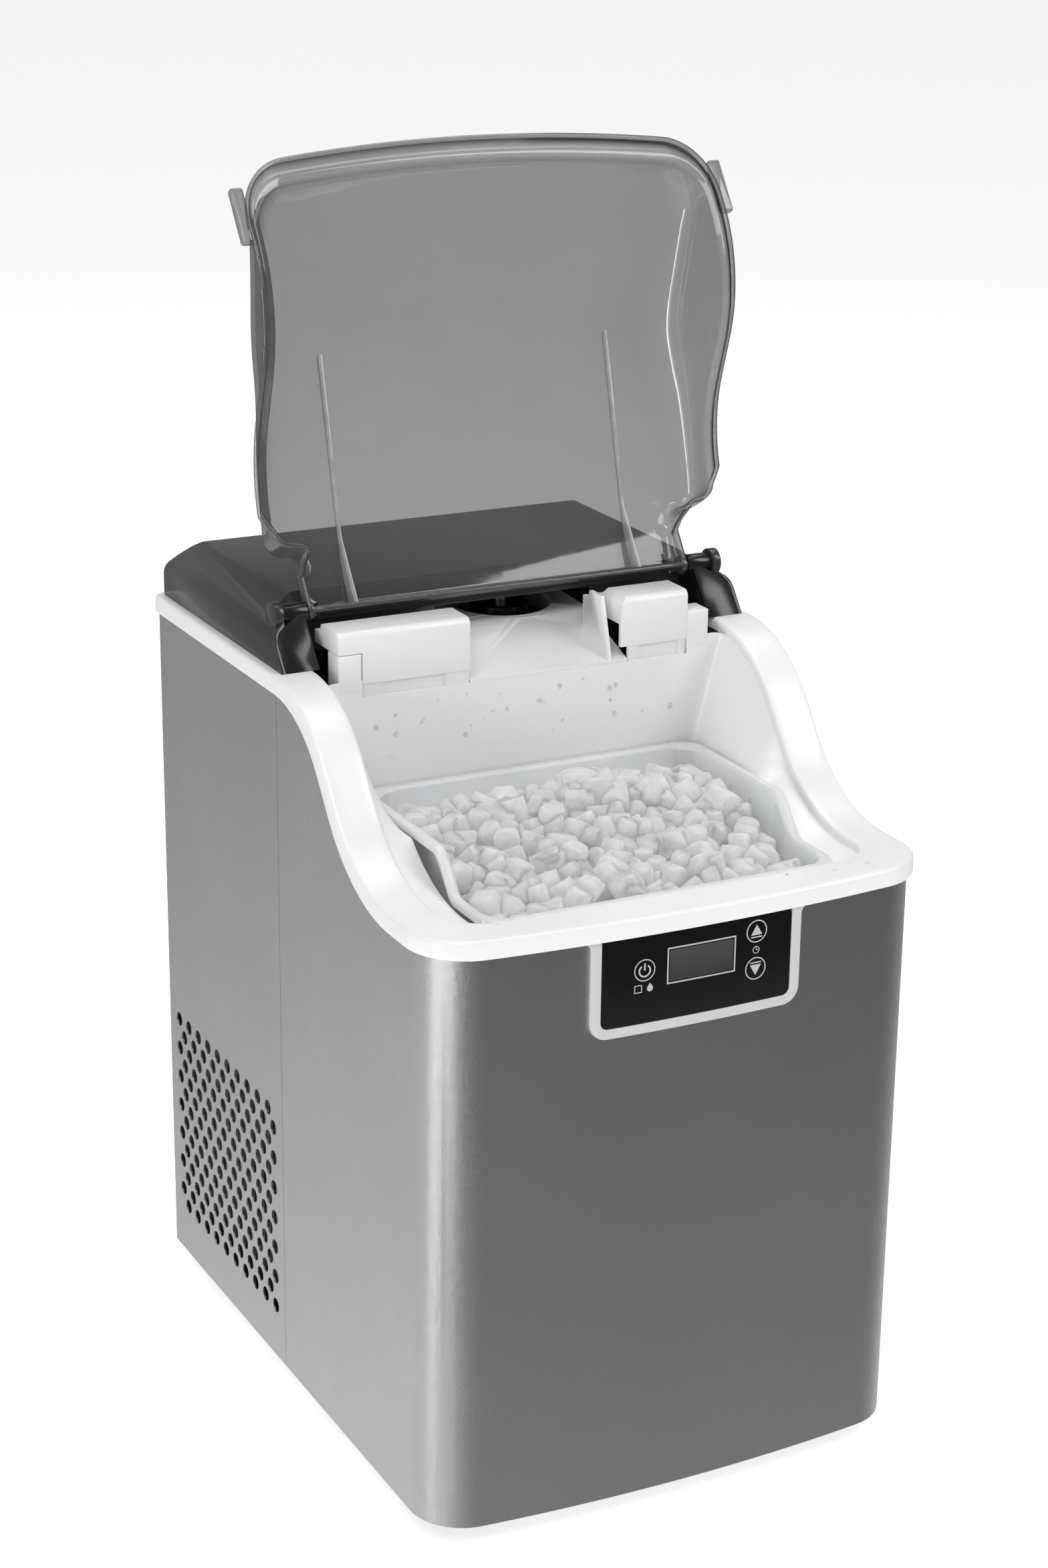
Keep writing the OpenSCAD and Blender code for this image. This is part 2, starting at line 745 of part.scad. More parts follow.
module chute_cover_left() {
    low = chute_z + 5.5;
    color("white") difference() {
        union() {
            cover_block(-slot_x + 0.3, chute_left - 0.5, low);
            cover_strip(-slot_x + 0.3, chute_left - 0.5, low, 12, 13.5);
            // end that lies on the shoulder
            intersection() {
                cover_block(-shoulder_x, -slot_x + 1, low);
                box([-shoulder_x, 0, shoulder_z + 0.4], [0, 60, 500]);
            }
        }
        // pocket of the ice sensor
        box([chute_left - 6.4, 9.6, 397.6], [chute_left, 16.4, 404.4]);
    }
}

module chute_cover_right() {
    color("white") difference() {
        union() {
            cover_block(54, slot_x + 0.2, chute_z + 6.5);
            cover_strip(58.8, slot_x + 0.2, chute_z + 6.5, 6.5, 5);
        }
        // bevelled corner beside the chute
        translate([54, 0, deck_z]) rotate([0, 45, 0]) box([-2.5, -5, -2.5], [2.5, 60, 2.5]);
    }
}

module bin_full_sensors() {
    color([0.1, 0.1, 0.12]) {
        box([chute_left - 6, 10, 398], [chute_left - 0.6, 16, 404]);
        translate([chute_left - 0.6, 13, 401]) rotate([0, 90, 0]) cylinder(r = 2, h = 0.5);
    }
}

module evaporator_barrel() {
    color("silver") translate([evap[0], evap[1], 0]) difference() {
        union() {
            translate([0, 0, 222]) cylinder(r = 24, h = outlet_z - 12 - 222);
            translate([0, 0, 222]) cylinder(r = 34, h = 5);
        }
        translate([0, 0, 210]) cylinder(r = 20.3, h = 300);
    }
}

module evaporator_jacket() {
    color("black") translate([evap[0], evap[1], 0]) difference() {
        translate([0, 0, 228]) cylinder(r = 36, h = 140);
        translate([0, 0, 220]) cylinder(r = 24.4, h = 200);
    }
}

module extruder_head() {
    color([0.12, 0.12, 0.12]) translate([evap[0], evap[1], 0]) difference() {
        union() {
            translate([0, 0, outlet_z - 11.8]) cylinder(r = 28, h = 4);
            translate([0, 0, outlet_z - 8]) cylinder(r = 16, h = 9);
        }
        translate([0, 0, 300]) cylinder(r = 5.05, h = 200);
        for (a = [0:60:300]) rotate(a) translate([19, 0, 300]) cylinder(r = 3.6, h = 200);
    }
}

// Shaft with a screw thread made of one wedge of flight for each eighth of a turn.
module auger() {
    turns = 5;
    pitch = 28;
    color("gainsboro") translate([evap[0], evap[1], 0]) {
        translate([0, 0, gear_z - 4]) cylinder(r = 5, h = 20);
        translate([0, 0, gear_z + gear_h + 0.4]) cylinder(r = 11, h = 22);
        translate([0, 0, 226]) cylinder(r = 12, h = 160);
        translate([0, 0, 380]) cylinder(r = 5, h = 30);
        for (i = [0:turns * 16 - 1]) translate([0, 0, 232 + pitch * i / 16]) rotate(i * 22.5)
            linear_extrude(3.4) polygon(concat([[0, 0]], arc([0, 0], 20, -14, 14, 4)));
    }
}

// ---- drive ------------------------------------------------------------------

// Spur gear with straight-sided teeth, thin enough to run with backlash.
module gear_outline(teeth, phase) {
    r = gear_module * teeth / 2;
    step = 360 / teeth;
    half_root = step * 0.27;
    half_tip = step * 0.12;
    root = r - gear_module * 1.25;
    tip = r + gear_module * 0.9;
    polygon([for (i = [0:teeth - 1]) let (a = phase + i * step)
        each [root * [cos(a - half_root), sin(a - half_root)], tip * [cos(a - half_tip), sin(a - half_tip)],
              tip * [cos(a + half_tip), sin(a + half_tip)], root * [cos(a + half_root), sin(a + half_root)]]]);
}

module auger_gear() {
    color("ivory") translate([evap[0], evap[1], gear_z]) difference() {
        linear_extrude(gear_h) gear_outline(wheel_teeth, 0);
        translate([0, 0, -1]) cylinder(r = 5.02, h = 30);
    }
}

module motor_pinion() {
    color("silver") translate([motor_at[0], motor_at[1], gear_z - 12]) {
        translate([0, 0, 12]) linear_extrude(gear_h) gear_outline(pinion_teeth, 15);
        cylinder(r = 3, h = 13);
    }
}

module gearbox_housing() {
    low = gear_z - 8;
    color("dimgray") difference() {
        linear_extrude_between(low, 221.6) gearbox_outline(0);
        linear_extrude_between(low + 4, 218) gearbox_outline(-4);
        translate([evap[0], evap[1], 216]) cylinder(r = 11.4, h = 20);
        translate([motor_at[0], motor_at[1], low - 1]) cylinder(r = 3.4, h = 10);
        translate([evap[0], evap[1], low + 2]) cylinder(r = 5.05, h = 10);
    }
}

module linear_extrude_between(z0, z1) {
    translate([0, 0, z0]) linear_extrude(z1 - z0) children();
}

module gearbox_outline(off) {
    hull() {
        translate(evap) circle(r = 52 + off);
        translate(motor_at) circle(r = 17 + off);
    }
}

module auger_motor() {
    color("darkgray") translate([motor_at[0], motor_at[1], 0]) difference() {
        union() {
            translate([0, 0, 108]) cylinder(r = 21, h = 66);
            translate([0, 0, 174]) cylinder(r = 10, h = gear_z - 8 - 174);
        }
        translate([0, 0, gear_z - 12.3]) cylinder(r = 3.05, h = 20);
    }
}

// ---- refrigeration ----------------------------------------------------------

module compressor() {
    color([0.1, 0.1, 0.1]) translate([68, 108, 0]) {
        translate([0, 0, 26]) cylinder(r = 46, h = 90);
        translate([0, 0, 116]) intersection() {
            sphere(r = 46);
            cylinder(r = 46, h = 46);
            translate([0, 0, -20]) cylinder(r1 = 70, r2 = 20, h = 48);
        }
        difference() {
            box([-58, -46, 22], [58, 46, 26]);
            for (x = [-50, 50], y = [-38, 38]) translate([x, y, 0]) cylinder(r = 5.2, h = 60);
        }
    }
}

module compressor_grommets() {
    color("black") for (x = [-50, 50], y = [-38, 38]) translate([68 + x, 108 + y, foot_h + 3]) {
        cylinder(r = 5, h = 14);
        cylinder(r = 7.5, h = 22 - foot_h - 3.1);
    }
}

module filter_drier() {
    color("peru") translate([-2, 30, 0]) {
        translate([0, 0, 60]) cylinder(r = 9, h = 60);
        translate([0, 0, 50]) cylinder(r1 = 3, r2 = 9, h = 10);
        translate([0, 0, 120]) cylinder(r1 = 9, r2 = 3, h = 10);
    }
}

module condenser() {
    color("silver") {
        for (i = [0:26]) box([-126, 36 + i * 4.6, 36], [-106, 36.5 + i * 4.6, 156]);
        for (j = [0:5], x = [-121, -111]) translate([x, 32, 46 + j * 20]) rotate([-90, 0, 0])
            cylinder(r = 3, h = 127, $fn = 24);
        box([-127, 31, 34], [-105, 33, 158]);
        box([-127, 158.5, 34], [-105, 160.5, 158]);
    }
}

module fan_shroud() {
    color("dimgray") difference() {
        box([-104.5, 34, 34], [-72, 158, 158]);
        box([-103, 36, 36], [-90, 156, 156]);
        translate([-95, fan_at[1], fan_at[2]]) rotate([0, 90, 0]) cylinder(r = fan_r + 3, h = 60);
        box([-110, 38, 38], [-100, 154, 154]);
    }
    color("dimgray") for (a = [45:90:315]) translate([-72, fan_at[1], fan_at[2]]) rotate([a, 0, 0])
        box([-2, 15.1, -3], [0, fan_r + 6, 3]);
}

module fan_blade() {
    color("gray") translate(fan_at) {
        rotate([0, 90, 0]) translate([0, 0, -8]) cylinder(r = 12, h = 12);
        for (a = [0:72:288]) translate([-2, 0, 0]) rotate([a, 0, 0]) rotate([0, 0, 28])
            box([-1, -11, 9], [1, 11, fan_r - 4]);
    }
}

module fan_motor() {
    color("black") translate([-75.6, fan_at[1], fan_at[2]]) rotate([0, 90, 0]) {
        cylinder(r = 15, h = 22);
    }
}

module refrigerant_lines() {
    color("chocolate") {
        tube([[68, 61.9, 100], [68, 46, 100], [-2, 44, 100], [-40, 30, 120], [-60, 26, 150],
            [-116, 26, 150], [-116, 30.9, 150]], 5);
        tube([[-116, 30.9, 40], [-116, 27.2, 40], [-2, 27.2, 40], [-2, 30, 44], [-2, 30, 49.9]], 5);
        tube([[-2, 30, 130.1], [-2, 30, 175], [-2, 19, 190], [-2, 19, 236], [20, 26, 240],
            [20, 38.7, 240]], 3);
        tube([[20, 111.2, 350], [20, 150, 350], [44, 158, 330], [44, 158, 176], [68, 140, 160],
            [68, 108, 160], [68, 108, 144.1]], 6);
    }
}

// ---- water ------------------------------------------------------------------

module water_reservoir() {
    color("whitesmoke") difference() {
        linear_extrude_between(tank_low, tank_high) round_rect([-104, -160], [104, -14], 16);
        linear_extrude_between(tank_low + 3, 300) round_rect([-101, -157], [101, -17], 14);
        translate([pump_at[0], pump_at[1], 0]) cylinder(r = 4.2, h = 100);
        translate([float_at[0], float_at[1], 0]) cylinder(r = 4.1, h = 100);
        translate([drain_at[0], -26, 0]) cylinder(r = 4.2, h = 100);
    }
}

module water_pump() {
    color("black") translate([pump_at[0], pump_at[1], 0]) {
        translate([0, 0, foot_h + 3.1]) cylinder(r = 20, h = 26);
        translate([0, 0, foot_h + 29]) cylinder(r = 14, h = 10);
        translate([0, 0, foot_h + 39]) cylinder(r = 4, h = 18);
        rotate([90, 0, 0]) translate([0, 30, -30]) cylinder(r = 4, h = 12);
    }
}

module float_stem() {
    color("white") translate([float_at[0], float_at[1], tank_low - 4]) {
        cylinder(r = 4, h = 90);
        cylinder(r = 8, h = 4);
        translate([0, 0, 90]) cylinder(r = 8, h = 3);
    }
}

module level_float() {
    color("white") translate([float_at[0], float_at[1], tank_low + 4]) difference() {
        cylinder(r = 14, h = 18);
        translate([0, 0, -1]) cylinder(r = 4.09, h = 30);
    }
}

module water_hoses() {
    color("lightblue") {
        tube([[pump_at[0], pump_at[1] + 30.1, 30], [-62, -10, 30], [-62, 20, 30],
            [-40, 20, 180], [-20, 35, 240], [-5.6, 49.4, 240]], 8);
        tube([[drain_at[0], -26, tank_low - 0.1], [drain_at[0], -26, drain_at[1]],
            [drain_at[0], 20, 24], [-96, 28, 24], [-96, 162.3, 24], [drain_at[0], 162.3, drain_at[1]],
            [drain_at[0], 168.2, drain_at[1]]], 7);
    }
}

module drain_spout() {
    color("whitesmoke") translate([drain_at[0], 0, drain_at[1]]) rotate([-90, 0, 0]) difference() {
        union() {
            translate([0, 0, 170]) cylinder(r = 6, h = 9);
            translate([0, 0, 168.4]) cylinder(r = 10, h = 5.5);
        }
        translate([0, 0, 168]) cylinder(r = 3.6, h = 20);
    }
}

module drain_cap() {
    color("black") translate([drain_at[0], 0, drain_at[1]]) rotate([-90, 0, 0]) difference() {
        translate([0, 0, 174]) cylinder(r = 9, h = 7);
        translate([0, 0, 173]) cylinder(r = 6.08, h = 6.3);
    }
}

// ---- electrics --------------------------------------------------------------

module power_inlet() {
    color([0.1, 0.1, 0.1]) translate([inlet_at[0], 0, inlet_at[1]]) {
        difference() {
            union() {
                along_y(155.5, 174) round_rect([-13.8, -10], [13.8, 10], 3);
                along_y(174.05, 176) round_rect([-20, -14], [20, 14], 3);
            }
            along_y(159, 180) round_rect([-12, -8], [12, 8], 4);
        }
        for (p = [[-7, 1], [0, -2.5], [7, 1]]) box([p[0] - 1, 158, p[1] - 2], [p[0] + 1, 172, p[1] + 2]);
    }
}

module power_board() {
    color("darkgreen") {
        box([72, 60, 236], [73.6, 150, 336]);
        box([73.6, 70, 250], [98, 100, 280]);
        translate([73.6, 125, 310]) rotate([0, 90, 0]) cylinder(r = 10, h = 22);
    }
}

base_pan();
foot(-foot_x, -foot_y);  // foot_front_left
foot(foot_x, -foot_y);  // foot_front_right
foot(-foot_x, foot_y);  // foot_rear_left
foot(foot_x, foot_y);  // foot_rear_right
front_panel();
mirror([1, 0, 0]) side_panel();  // side_panel_left
side_panel();  // side_panel_right
rear_panel();
top_frame();
bin_insulation();
rear_cover();
mirror([1, 0, 0]) hinge_post();  // hinge_post_left
hinge_post();  // hinge_post_right
panel_bezel();
control_overlay();
display_window();
panel_icons();
control_board();
switch_bodies();
switch_stem(power_key_at);  // power_switch_stem
switch_stem(up_key_at);  // up_switch_stem
switch_stem(down_key_at);  // down_switch_stem
ice_chute();
chute_cover_left();
chute_cover_right();
bin_full_sensors();
evaporator_barrel();
evaporator_jacket();
auger();
extruder_head();
gearbox_housing();
motor_pinion();
auger_gear();
auger_motor();
compressor();
compressor_grommets();
filter_drier();
condenser();
fan_shroud();
fan_blade();
fan_motor();
refrigerant_lines();
water_reservoir();
water_pump();
float_stem();
level_float();
water_hoses();
drain_spout();
drain_cap();
power_inlet();
power_board();
ice_basket();
nugget_ice();
lid();
lid_pins();
rear_screws();
foot_nuts();
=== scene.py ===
"""Looks of a countertop nugget ice maker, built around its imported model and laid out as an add-on.

Lengths inside the builders are in millimetres and become metres when a piece is finished.
X is the width, -Y the front, Z is up.
"""

import json
import math
import random

import bmesh
import bpy
from bpy.props import FloatProperty, FloatVectorProperty, IntProperty, PointerProperty
from mathutils import Matrix, Vector, noise


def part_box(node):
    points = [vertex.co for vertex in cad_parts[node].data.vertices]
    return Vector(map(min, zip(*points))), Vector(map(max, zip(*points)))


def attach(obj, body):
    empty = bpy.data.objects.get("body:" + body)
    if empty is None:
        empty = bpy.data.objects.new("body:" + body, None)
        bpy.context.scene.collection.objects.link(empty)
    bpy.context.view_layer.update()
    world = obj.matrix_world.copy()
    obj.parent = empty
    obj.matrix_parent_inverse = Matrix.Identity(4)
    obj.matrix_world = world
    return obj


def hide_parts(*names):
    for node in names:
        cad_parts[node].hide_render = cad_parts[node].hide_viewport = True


bl_info = {
    "name": "Countertop ice maker",
    "version": (1, 0, 0),
    "blender": (4, 5, 0),
    "location": "View3D > Sidebar > Ice maker",
    "description": "Builds the visible pieces and finishes of a countertop nugget ice maker",
    "category": "Object",
}

MM = 0.001
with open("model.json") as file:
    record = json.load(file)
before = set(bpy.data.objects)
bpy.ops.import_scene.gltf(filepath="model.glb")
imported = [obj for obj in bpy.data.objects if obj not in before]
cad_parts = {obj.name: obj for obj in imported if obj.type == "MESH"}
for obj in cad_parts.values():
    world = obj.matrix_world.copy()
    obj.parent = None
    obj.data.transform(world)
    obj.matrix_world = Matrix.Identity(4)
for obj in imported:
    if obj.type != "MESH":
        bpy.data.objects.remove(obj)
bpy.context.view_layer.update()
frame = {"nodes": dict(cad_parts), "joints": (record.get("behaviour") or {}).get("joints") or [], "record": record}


# ---- sizes read from the frame ----------------------------------------------------------


def box_mm(node):
    """Lowest and highest corner of a node, in millimetres."""
    low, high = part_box(node)
    return low / MM, high / MM


RIM_LOW, RIM_HIGH = box_mm("top_frame")
BODY_LOW, BODY_HIGH = box_mm("front_panel")
SIDE_LOW, SIDE_HIGH = box_mm("side_panel_right")
COVER_LOW, COVER_HIGH = box_mm("rear_cover")
BASKET_LOW, BASKET_HIGH = box_mm("ice_basket")
OVERLAY_LOW, OVERLAY_HIGH = box_mm("control_overlay")
BEZEL_LOW, BEZEL_HIGH = box_mm("panel_bezel")
POST_LOW, POST_HIGH = box_mm("hinge_post_right")
HINGE = Vector(next(j for j in frame["joints"] if j["name"] == "lid_hinge")["pos_m"]) / MM
LID_OPEN = math.radians(125)
HALF_W = BODY_HIGH.x


# ---- values a user would change ----------------------------------------------------------


def length(name, description, millimetres):
    """A length property whose default is given in millimetres."""
    return FloatProperty(name=name, description=description, default=millimetres * MM, unit="LENGTH")


def tint(name, description, colour):
    """A colour property."""
    return FloatVectorProperty(name=name, description=description, default=colour, subtype="COLOR",
                               size=3, min=0, max=1)


class IceMakerShape(bpy.types.PropertyGroup):
    """Sizes of the parts that are shaped here."""

    corner: length("Corner radius", "Radius of the two front corners of the body", 28.5)
    bow: length("Front bow", "How far the front bows out at its middle", 8.9)
    rim_rear: length("Rim height at the back", "Height of the rim's level part", 402)
    rim_front: length("Rim height at the front", "Height of the rim's top at the front", 323)
    fall_start: length("Fall start", "Depth at which the rim starts to fall", 10)
    upper_bend: length("Upper bend", "Radius of the upper bend of the rim", 76)
    lower_bend: length("Lower bend", "Radius of the lower bend of the rim", 78)
    fall_angle: FloatProperty(name="Fall angle", description="Steepest slope of the rim",
                              default=math.radians(52.5), subtype="ANGLE")
    band: length("Rim band", "Height of the rim's edge band", 9.5)
    mouth: length("Mouth half width", "Half width of the opening in the rim", 115)
    mouth_front: length("Mouth front", "Depth of the front edge of the opening", -154)
    lip_front: length("Basket lip at the front", "Height of the basket's lip at the front", 320)
    lip_fall: length("Basket lip fall", "Depth at which the basket's lip falls", -91)
    lid_wall: length("Lid wall", "Thickness of the lid", 2.2)
    hood_half: length("Hood half width", "Half width of the lid's hood", 127.4)


class IceMakerFinish(bpy.types.PropertyGroup):
    """Colours, and the amounts of ice and water."""

    steel: tint("Steel", "Colour of the brushed steel body", (0.70, 0.70, 0.702))
    white: tint("White plastic", "Colour of the rim, chute and covers", (0.86, 0.86, 0.86))
    smoke: tint("Smoked plastic", "Colour of the clear lid", (0.10, 0.10, 0.102))
    cover: tint("Rear cover", "Colour of the rear cover", (0.036, 0.036, 0.038))
    nugget: length("Nugget", "Usual width of an ice nugget", 14.5)
    nuggets: IntProperty(name="Nuggets", description="Rows of nuggets across the basket", default=16, min=4)
    drops: IntProperty(name="Drops", description="Water drops on the walls of the bin", default=46, min=0)


def shape(name):
    """A size of the shape group, in millimetres."""
    return getattr(bpy.context.scene.ice_maker_shape, name) / MM


def finish(name):
    """A value of the finish group."""
    value = getattr(bpy.context.scene.ice_maker_finish, name)
    return value if isinstance(value, (int, float)) else tuple(value)


# ---- shader helpers -----------------------------------------------------------------------


class Value:
    """A number on a socket, with arithmetic that adds Math nodes."""

    def __init__(self, shader, socket):
        self.shader = shader
        self.socket = socket

    def math(self, operation, *terms):
        """A Math node of this value and the terms."""
        return self.shader.math(operation, self, *terms)

    def __add__(self, other):
        return self.math("ADD", other)

    def __sub__(self, other):
        return self.math("SUBTRACT", other)

    def __rsub__(self, other):
        return self.shader.math("SUBTRACT", other, self)

    def __mul__(self, other):
        return self.math("MULTIPLY", other)

    __radd__ = __add__
    __rmul__ = __mul__

    def above(self, low, high):
        """0 below low, 1 above high, and smooth between them."""
        return self.shader.node("MapRange", {"interpolation_type": "SMOOTHSTEP"},
                                {"Value": self, "From Min": low, "From Max": high})


class Shader:
    """A material with a Principled shader, and the nodes that feed it."""

    def __init__(self, name):
        self.material = bpy.data.materials.new("finish_" + name)
        self.material.use_nodes = True
        self.tree = self.material.node_tree
        self.principled = next(n for n in self.tree.nodes if n.type == "BSDF_PRINCIPLED")
        self.place = self.tree.nodes.new("ShaderNodeTexCoord").outputs["Object"]

    def connect(self, socket, value):
        """Puts a value, or a link to a Value or socket, on an input."""
        if isinstance(value, Value):
            value = value.socket
        if isinstance(value, bpy.types.NodeSocket):
            self.tree.links.new(value, socket)
        else:
            socket.default_value = value

    def node(self, kind, settings=None, inputs=None, output=0):
        """A node of that kind, with its settings made first and then its inputs."""
        made = self.tree.nodes.new("ShaderNode" + kind)
        for name, value in (settings or {}).items():
            setattr(made, name, value)
        for name, value in (inputs or {}).items():
            self.connect(made.inputs[name], value)
        return Value(self, made.outputs[output])

    def math(self, operation, *terms):
        """A Math node of the terms."""
        return self.node("Math", {"operation": operation}, dict(enumerate(terms)))

    def axis(self, name):
        """The place along X, Y or Z, in millimetres."""
        return self.node("SeparateXYZ", {}, {0: self.place}, "XYZ".index(name)) * (1 / MM)

    def noise(self, size, detail=3.0, stretch=(1, 1, 1)):
        """Noise with features of about size millimetres, times the stretch along each axis."""
        scale = [1 / (size * MM * s) for s in stretch]
        mapped = self.node("Mapping", {}, {"Vector": self.place, "Scale": scale})
        return self.node("TexNoise", {}, {"Vector": mapped, "Scale": 1.0, "Detail": detail})

    def mix(self, factor, first, second):
        """A colour between two."""
        made = self.tree.nodes.new("ShaderNodeMix")
        made.data_type = "RGBA"
        for index, value in ((0, factor), (6, first), (7, second)):
            self.connect(made.inputs[index], (*value, 1) if isinstance(value, (tuple, list)) else value)
        return Value(self, made.outputs[2])

    def bump(self, height, depth, strength=1.0):
        """Raises the surface by height times depth millimetres."""
        normal = self.node("Bump", {}, {"Height": height, "Distance": depth * MM, "Strength": strength})
        self.connect(self.principled.inputs["Normal"], normal)

    def surface(self, **inputs):
        """Sets inputs of the Principled shader, with _ for a space in their names."""
        for name, value in inputs.items():
            socket = self.principled.inputs[name.replace("_", " ")]
            if isinstance(value, tuple) and socket.type == "RGBA":
                value = (*value, 1)
            self.connect(socket, value)
        return self


def shade(colour, factor):
    """The colour times a factor."""
    return tuple(min(1.0, c * factor) for c in colour)


def plastic(name, colour, roughness, grain=0.05, spots=0.06):
    """Moulded plastic with a fine texture and slightly uneven gloss."""
    s = Shader(name)
    cloud = s.noise(35, 2.0)
    fine = s.noise(0.9, 4.0)
    dust = s.noise(6, 5.0).above(0.5, 0.9)
    s.surface(Base_Color=s.mix(cloud * 0.6 + dust * 0.1, shade(colour, 1 - spots), shade(colour, 1 + spots)),
              Roughness=fine * 0.08 + dust * 0.02 + (roughness - 0.04))
    s.bump(fine, grain)
    return s


def brushed(name, colour, roughness, stretch=(60, 60, 1), grain=0.35, depth=0.05):
    """Metal with a fine grain along the stretch, faint smudges and fine scratches."""
    s = Shader(name)
    lines = s.noise(grain, 3.0, stretch)
    bands = s.noise(grain * 6, 2.0, stretch)
    smudge = s.noise(70, 3.0).above(0.3, 0.8)
    tone = lines * 0.45 + bands * 0.4 + smudge * 0.15
    s.surface(Base_Color=s.mix(tone, shade(colour, 0.86), shade(colour, 1.14)), Metallic=1.0,
              Roughness=lines * 0.12 + smudge * 0.02 + (roughness - 0.06))
    s.bump(lines * 0.8 + bands * 0.4, depth)
    return s


def painted(name, colour, roughness):
    """Paint on metal, with an orange-peel surface."""
    s = Shader(name)
    peel = s.noise(1.6, 2.0)
    s.surface(Base_Color=s.mix(s.noise(20, 3.0), shade(colour, 0.9), shade(colour, 1.1)),
              Roughness=peel * 0.1 + roughness, Coat_Weight=0.25)
    s.bump(peel, 0.02)
    return s


def soft(name, colour, roughness=0.75):
    """Rubber or foam, matt with a fine pitted surface."""
    s = Shader(name)
    pits = s.noise(0.7, 5.0)
    s.surface(Base_Color=s.mix(pits, shade(colour, 0.75), shade(colour, 1.25)), Roughness=roughness)
    s.bump(pits, 0.12)
    return s


def smoked_plastic():
    """Clear grey plastic, darker where the sight line runs along it."""
    s = Shader("smoked_plastic")
    facing = s.node("LayerWeight", {}, {"Blend": 0.5}, 1)
    swirl = s.noise(30, 2.0)
    edge = facing.math("POWER", 2.4)
    s.surface(Base_Color=s.mix(edge, finish("smoke"), shade(finish("smoke"), 0.35)),
              Alpha=edge * 0.46 + swirl * 0.02 + 0.52, Roughness=s.noise(4, 4.0) * 0.05 + 0.02, IOR=1.85)
    s.bump(swirl, 0.05)
    return s


def rib_plastic():
    """Plastic of the lid's ribs, its base colour painted light grey: a painted highlight for the light that runs
    along inside it and brightens it.
    """
    s = Shader("rib_plastic")
    painted_glow = s.noise(9, 2.0)
    # painted highlight: a base colour far lighter than the smoked lid, varied by a noise
    s.surface(Base_Color=s.mix(painted_glow, (0.40, 0.40, 0.41), (0.62, 0.62, 0.63)), Alpha=painted_glow * 0.2 + 0.42,
              Roughness=s.noise(4, 4.0) * 0.05 + 0.03, IOR=1.85)
    return s


def frosted_plastic():
    """Translucent white plastic of the basket."""
    s = Shader("basket_plastic")
    frost = s.noise(1.2, 3.0)
    cloud = s.noise(28, 2.0)
    s.surface(Base_Color=s.mix(cloud, (0.78, 0.79, 0.80), (0.90, 0.91, 0.92)), Roughness=frost * 0.1 + 0.2,
              Alpha=cloud * 0.1 + 0.72, Subsurface_Weight=0.3, Subsurface_Radius=(0.006, 0.006, 0.006))
    s.bump(frost, 0.03)
    return s


def ice():
    """Wet ice, clear at the edges and cloudy white inside, with a faint painted glow from emission for the light
    scattered inside it.
    """
    s = Shader("ice")
    edge = s.node("LayerWeight", {}, {"Blend": 0.5}, 1)
    cloud = s.noise(7, 3.0)
    crack_and_painted_glow = s.noise(2.2, 3.0, (1, 1, 1.6))
    # painted glow: the emission at strength 0.04, varied by the crack noise, stands in for light scattered inside
    # the ice
    s.surface(Base_Color=s.mix(cloud.above(0.3, 0.7), (0.93, 0.94, 0.95), (1.0, 1.0, 1.0)),
              Roughness=crack_and_painted_glow * 0.16 + 0.08, IOR=1.28, Transmission_Weight=0.3,
              Alpha=edge * 0.3 + cloud * 0.3 + 0.5, Emission_Color=s.mix(crack_and_painted_glow, (0.8, 0.8, 0.8), (1, 1, 1)),
              Emission_Strength=0.04,
              Subsurface_Weight=1.0, Subsurface_Radius=(0.012, 0.0125, 0.013), Subsurface_Scale=1.0,
              Coat_Weight=0.3, Coat_Roughness=0.08)
    s.bump(crack_and_painted_glow + cloud, 0.35)
    return s


def water():
    """Clear water for the drops."""
    s = Shader("water")
    s.surface(Base_Color=s.mix(s.noise(3, 1.0), (0.96, 0.97, 0.98), (1, 1, 1)), Roughness=0.02, IOR=1.33,
              Transmission_Weight=1.0)
    return s


def display():
    """Unlit liquid-crystal window: dark grey behind a clear front, painted lighter towards its top as a painted
    reflection.
    """
    s = Shader("display")
    # painted reflection: the base colour grows lighter from 14 to 38 mm above the overlay's lower edge
    rise = (s.axis("Z") - OVERLAY_LOW.z).above(14, 38)
    s.surface(Base_Color=s.mix(rise + s.noise(12, 2.0) * 0.2, (0.030, 0.031, 0.031), (0.055, 0.056, 0.056)),
              Roughness=s.noise(0.5, 2.0) * 0.1 + 0.16, Coat_Weight=1.0, Coat_Roughness=0.04)
    return s


def circuit_board():
    """Green lacquer over fine copper tracks."""
    s = Shader("circuit_board")
    tracks = s.node("TexBrick", {}, {"Vector": s.place, "Scale": 180.0, "Mortar Size": 0.03}, 1)
    s.surface(Base_Color=s.mix(tracks, (0.01, 0.10, 0.04), (0.03, 0.19, 0.08)), Roughness=tracks * 0.1 + 0.35)
    return s


def screen_print():
    """Light grey print on the overlay."""
    s = Shader("print")
    ink = s.noise(0.4, 2.0)
    s.surface(Base_Color=s.mix(ink, (0.42, 0.42, 0.42), (0.58, 0.58, 0.58)), Roughness=ink * 0.1 + 0.3)
    return s


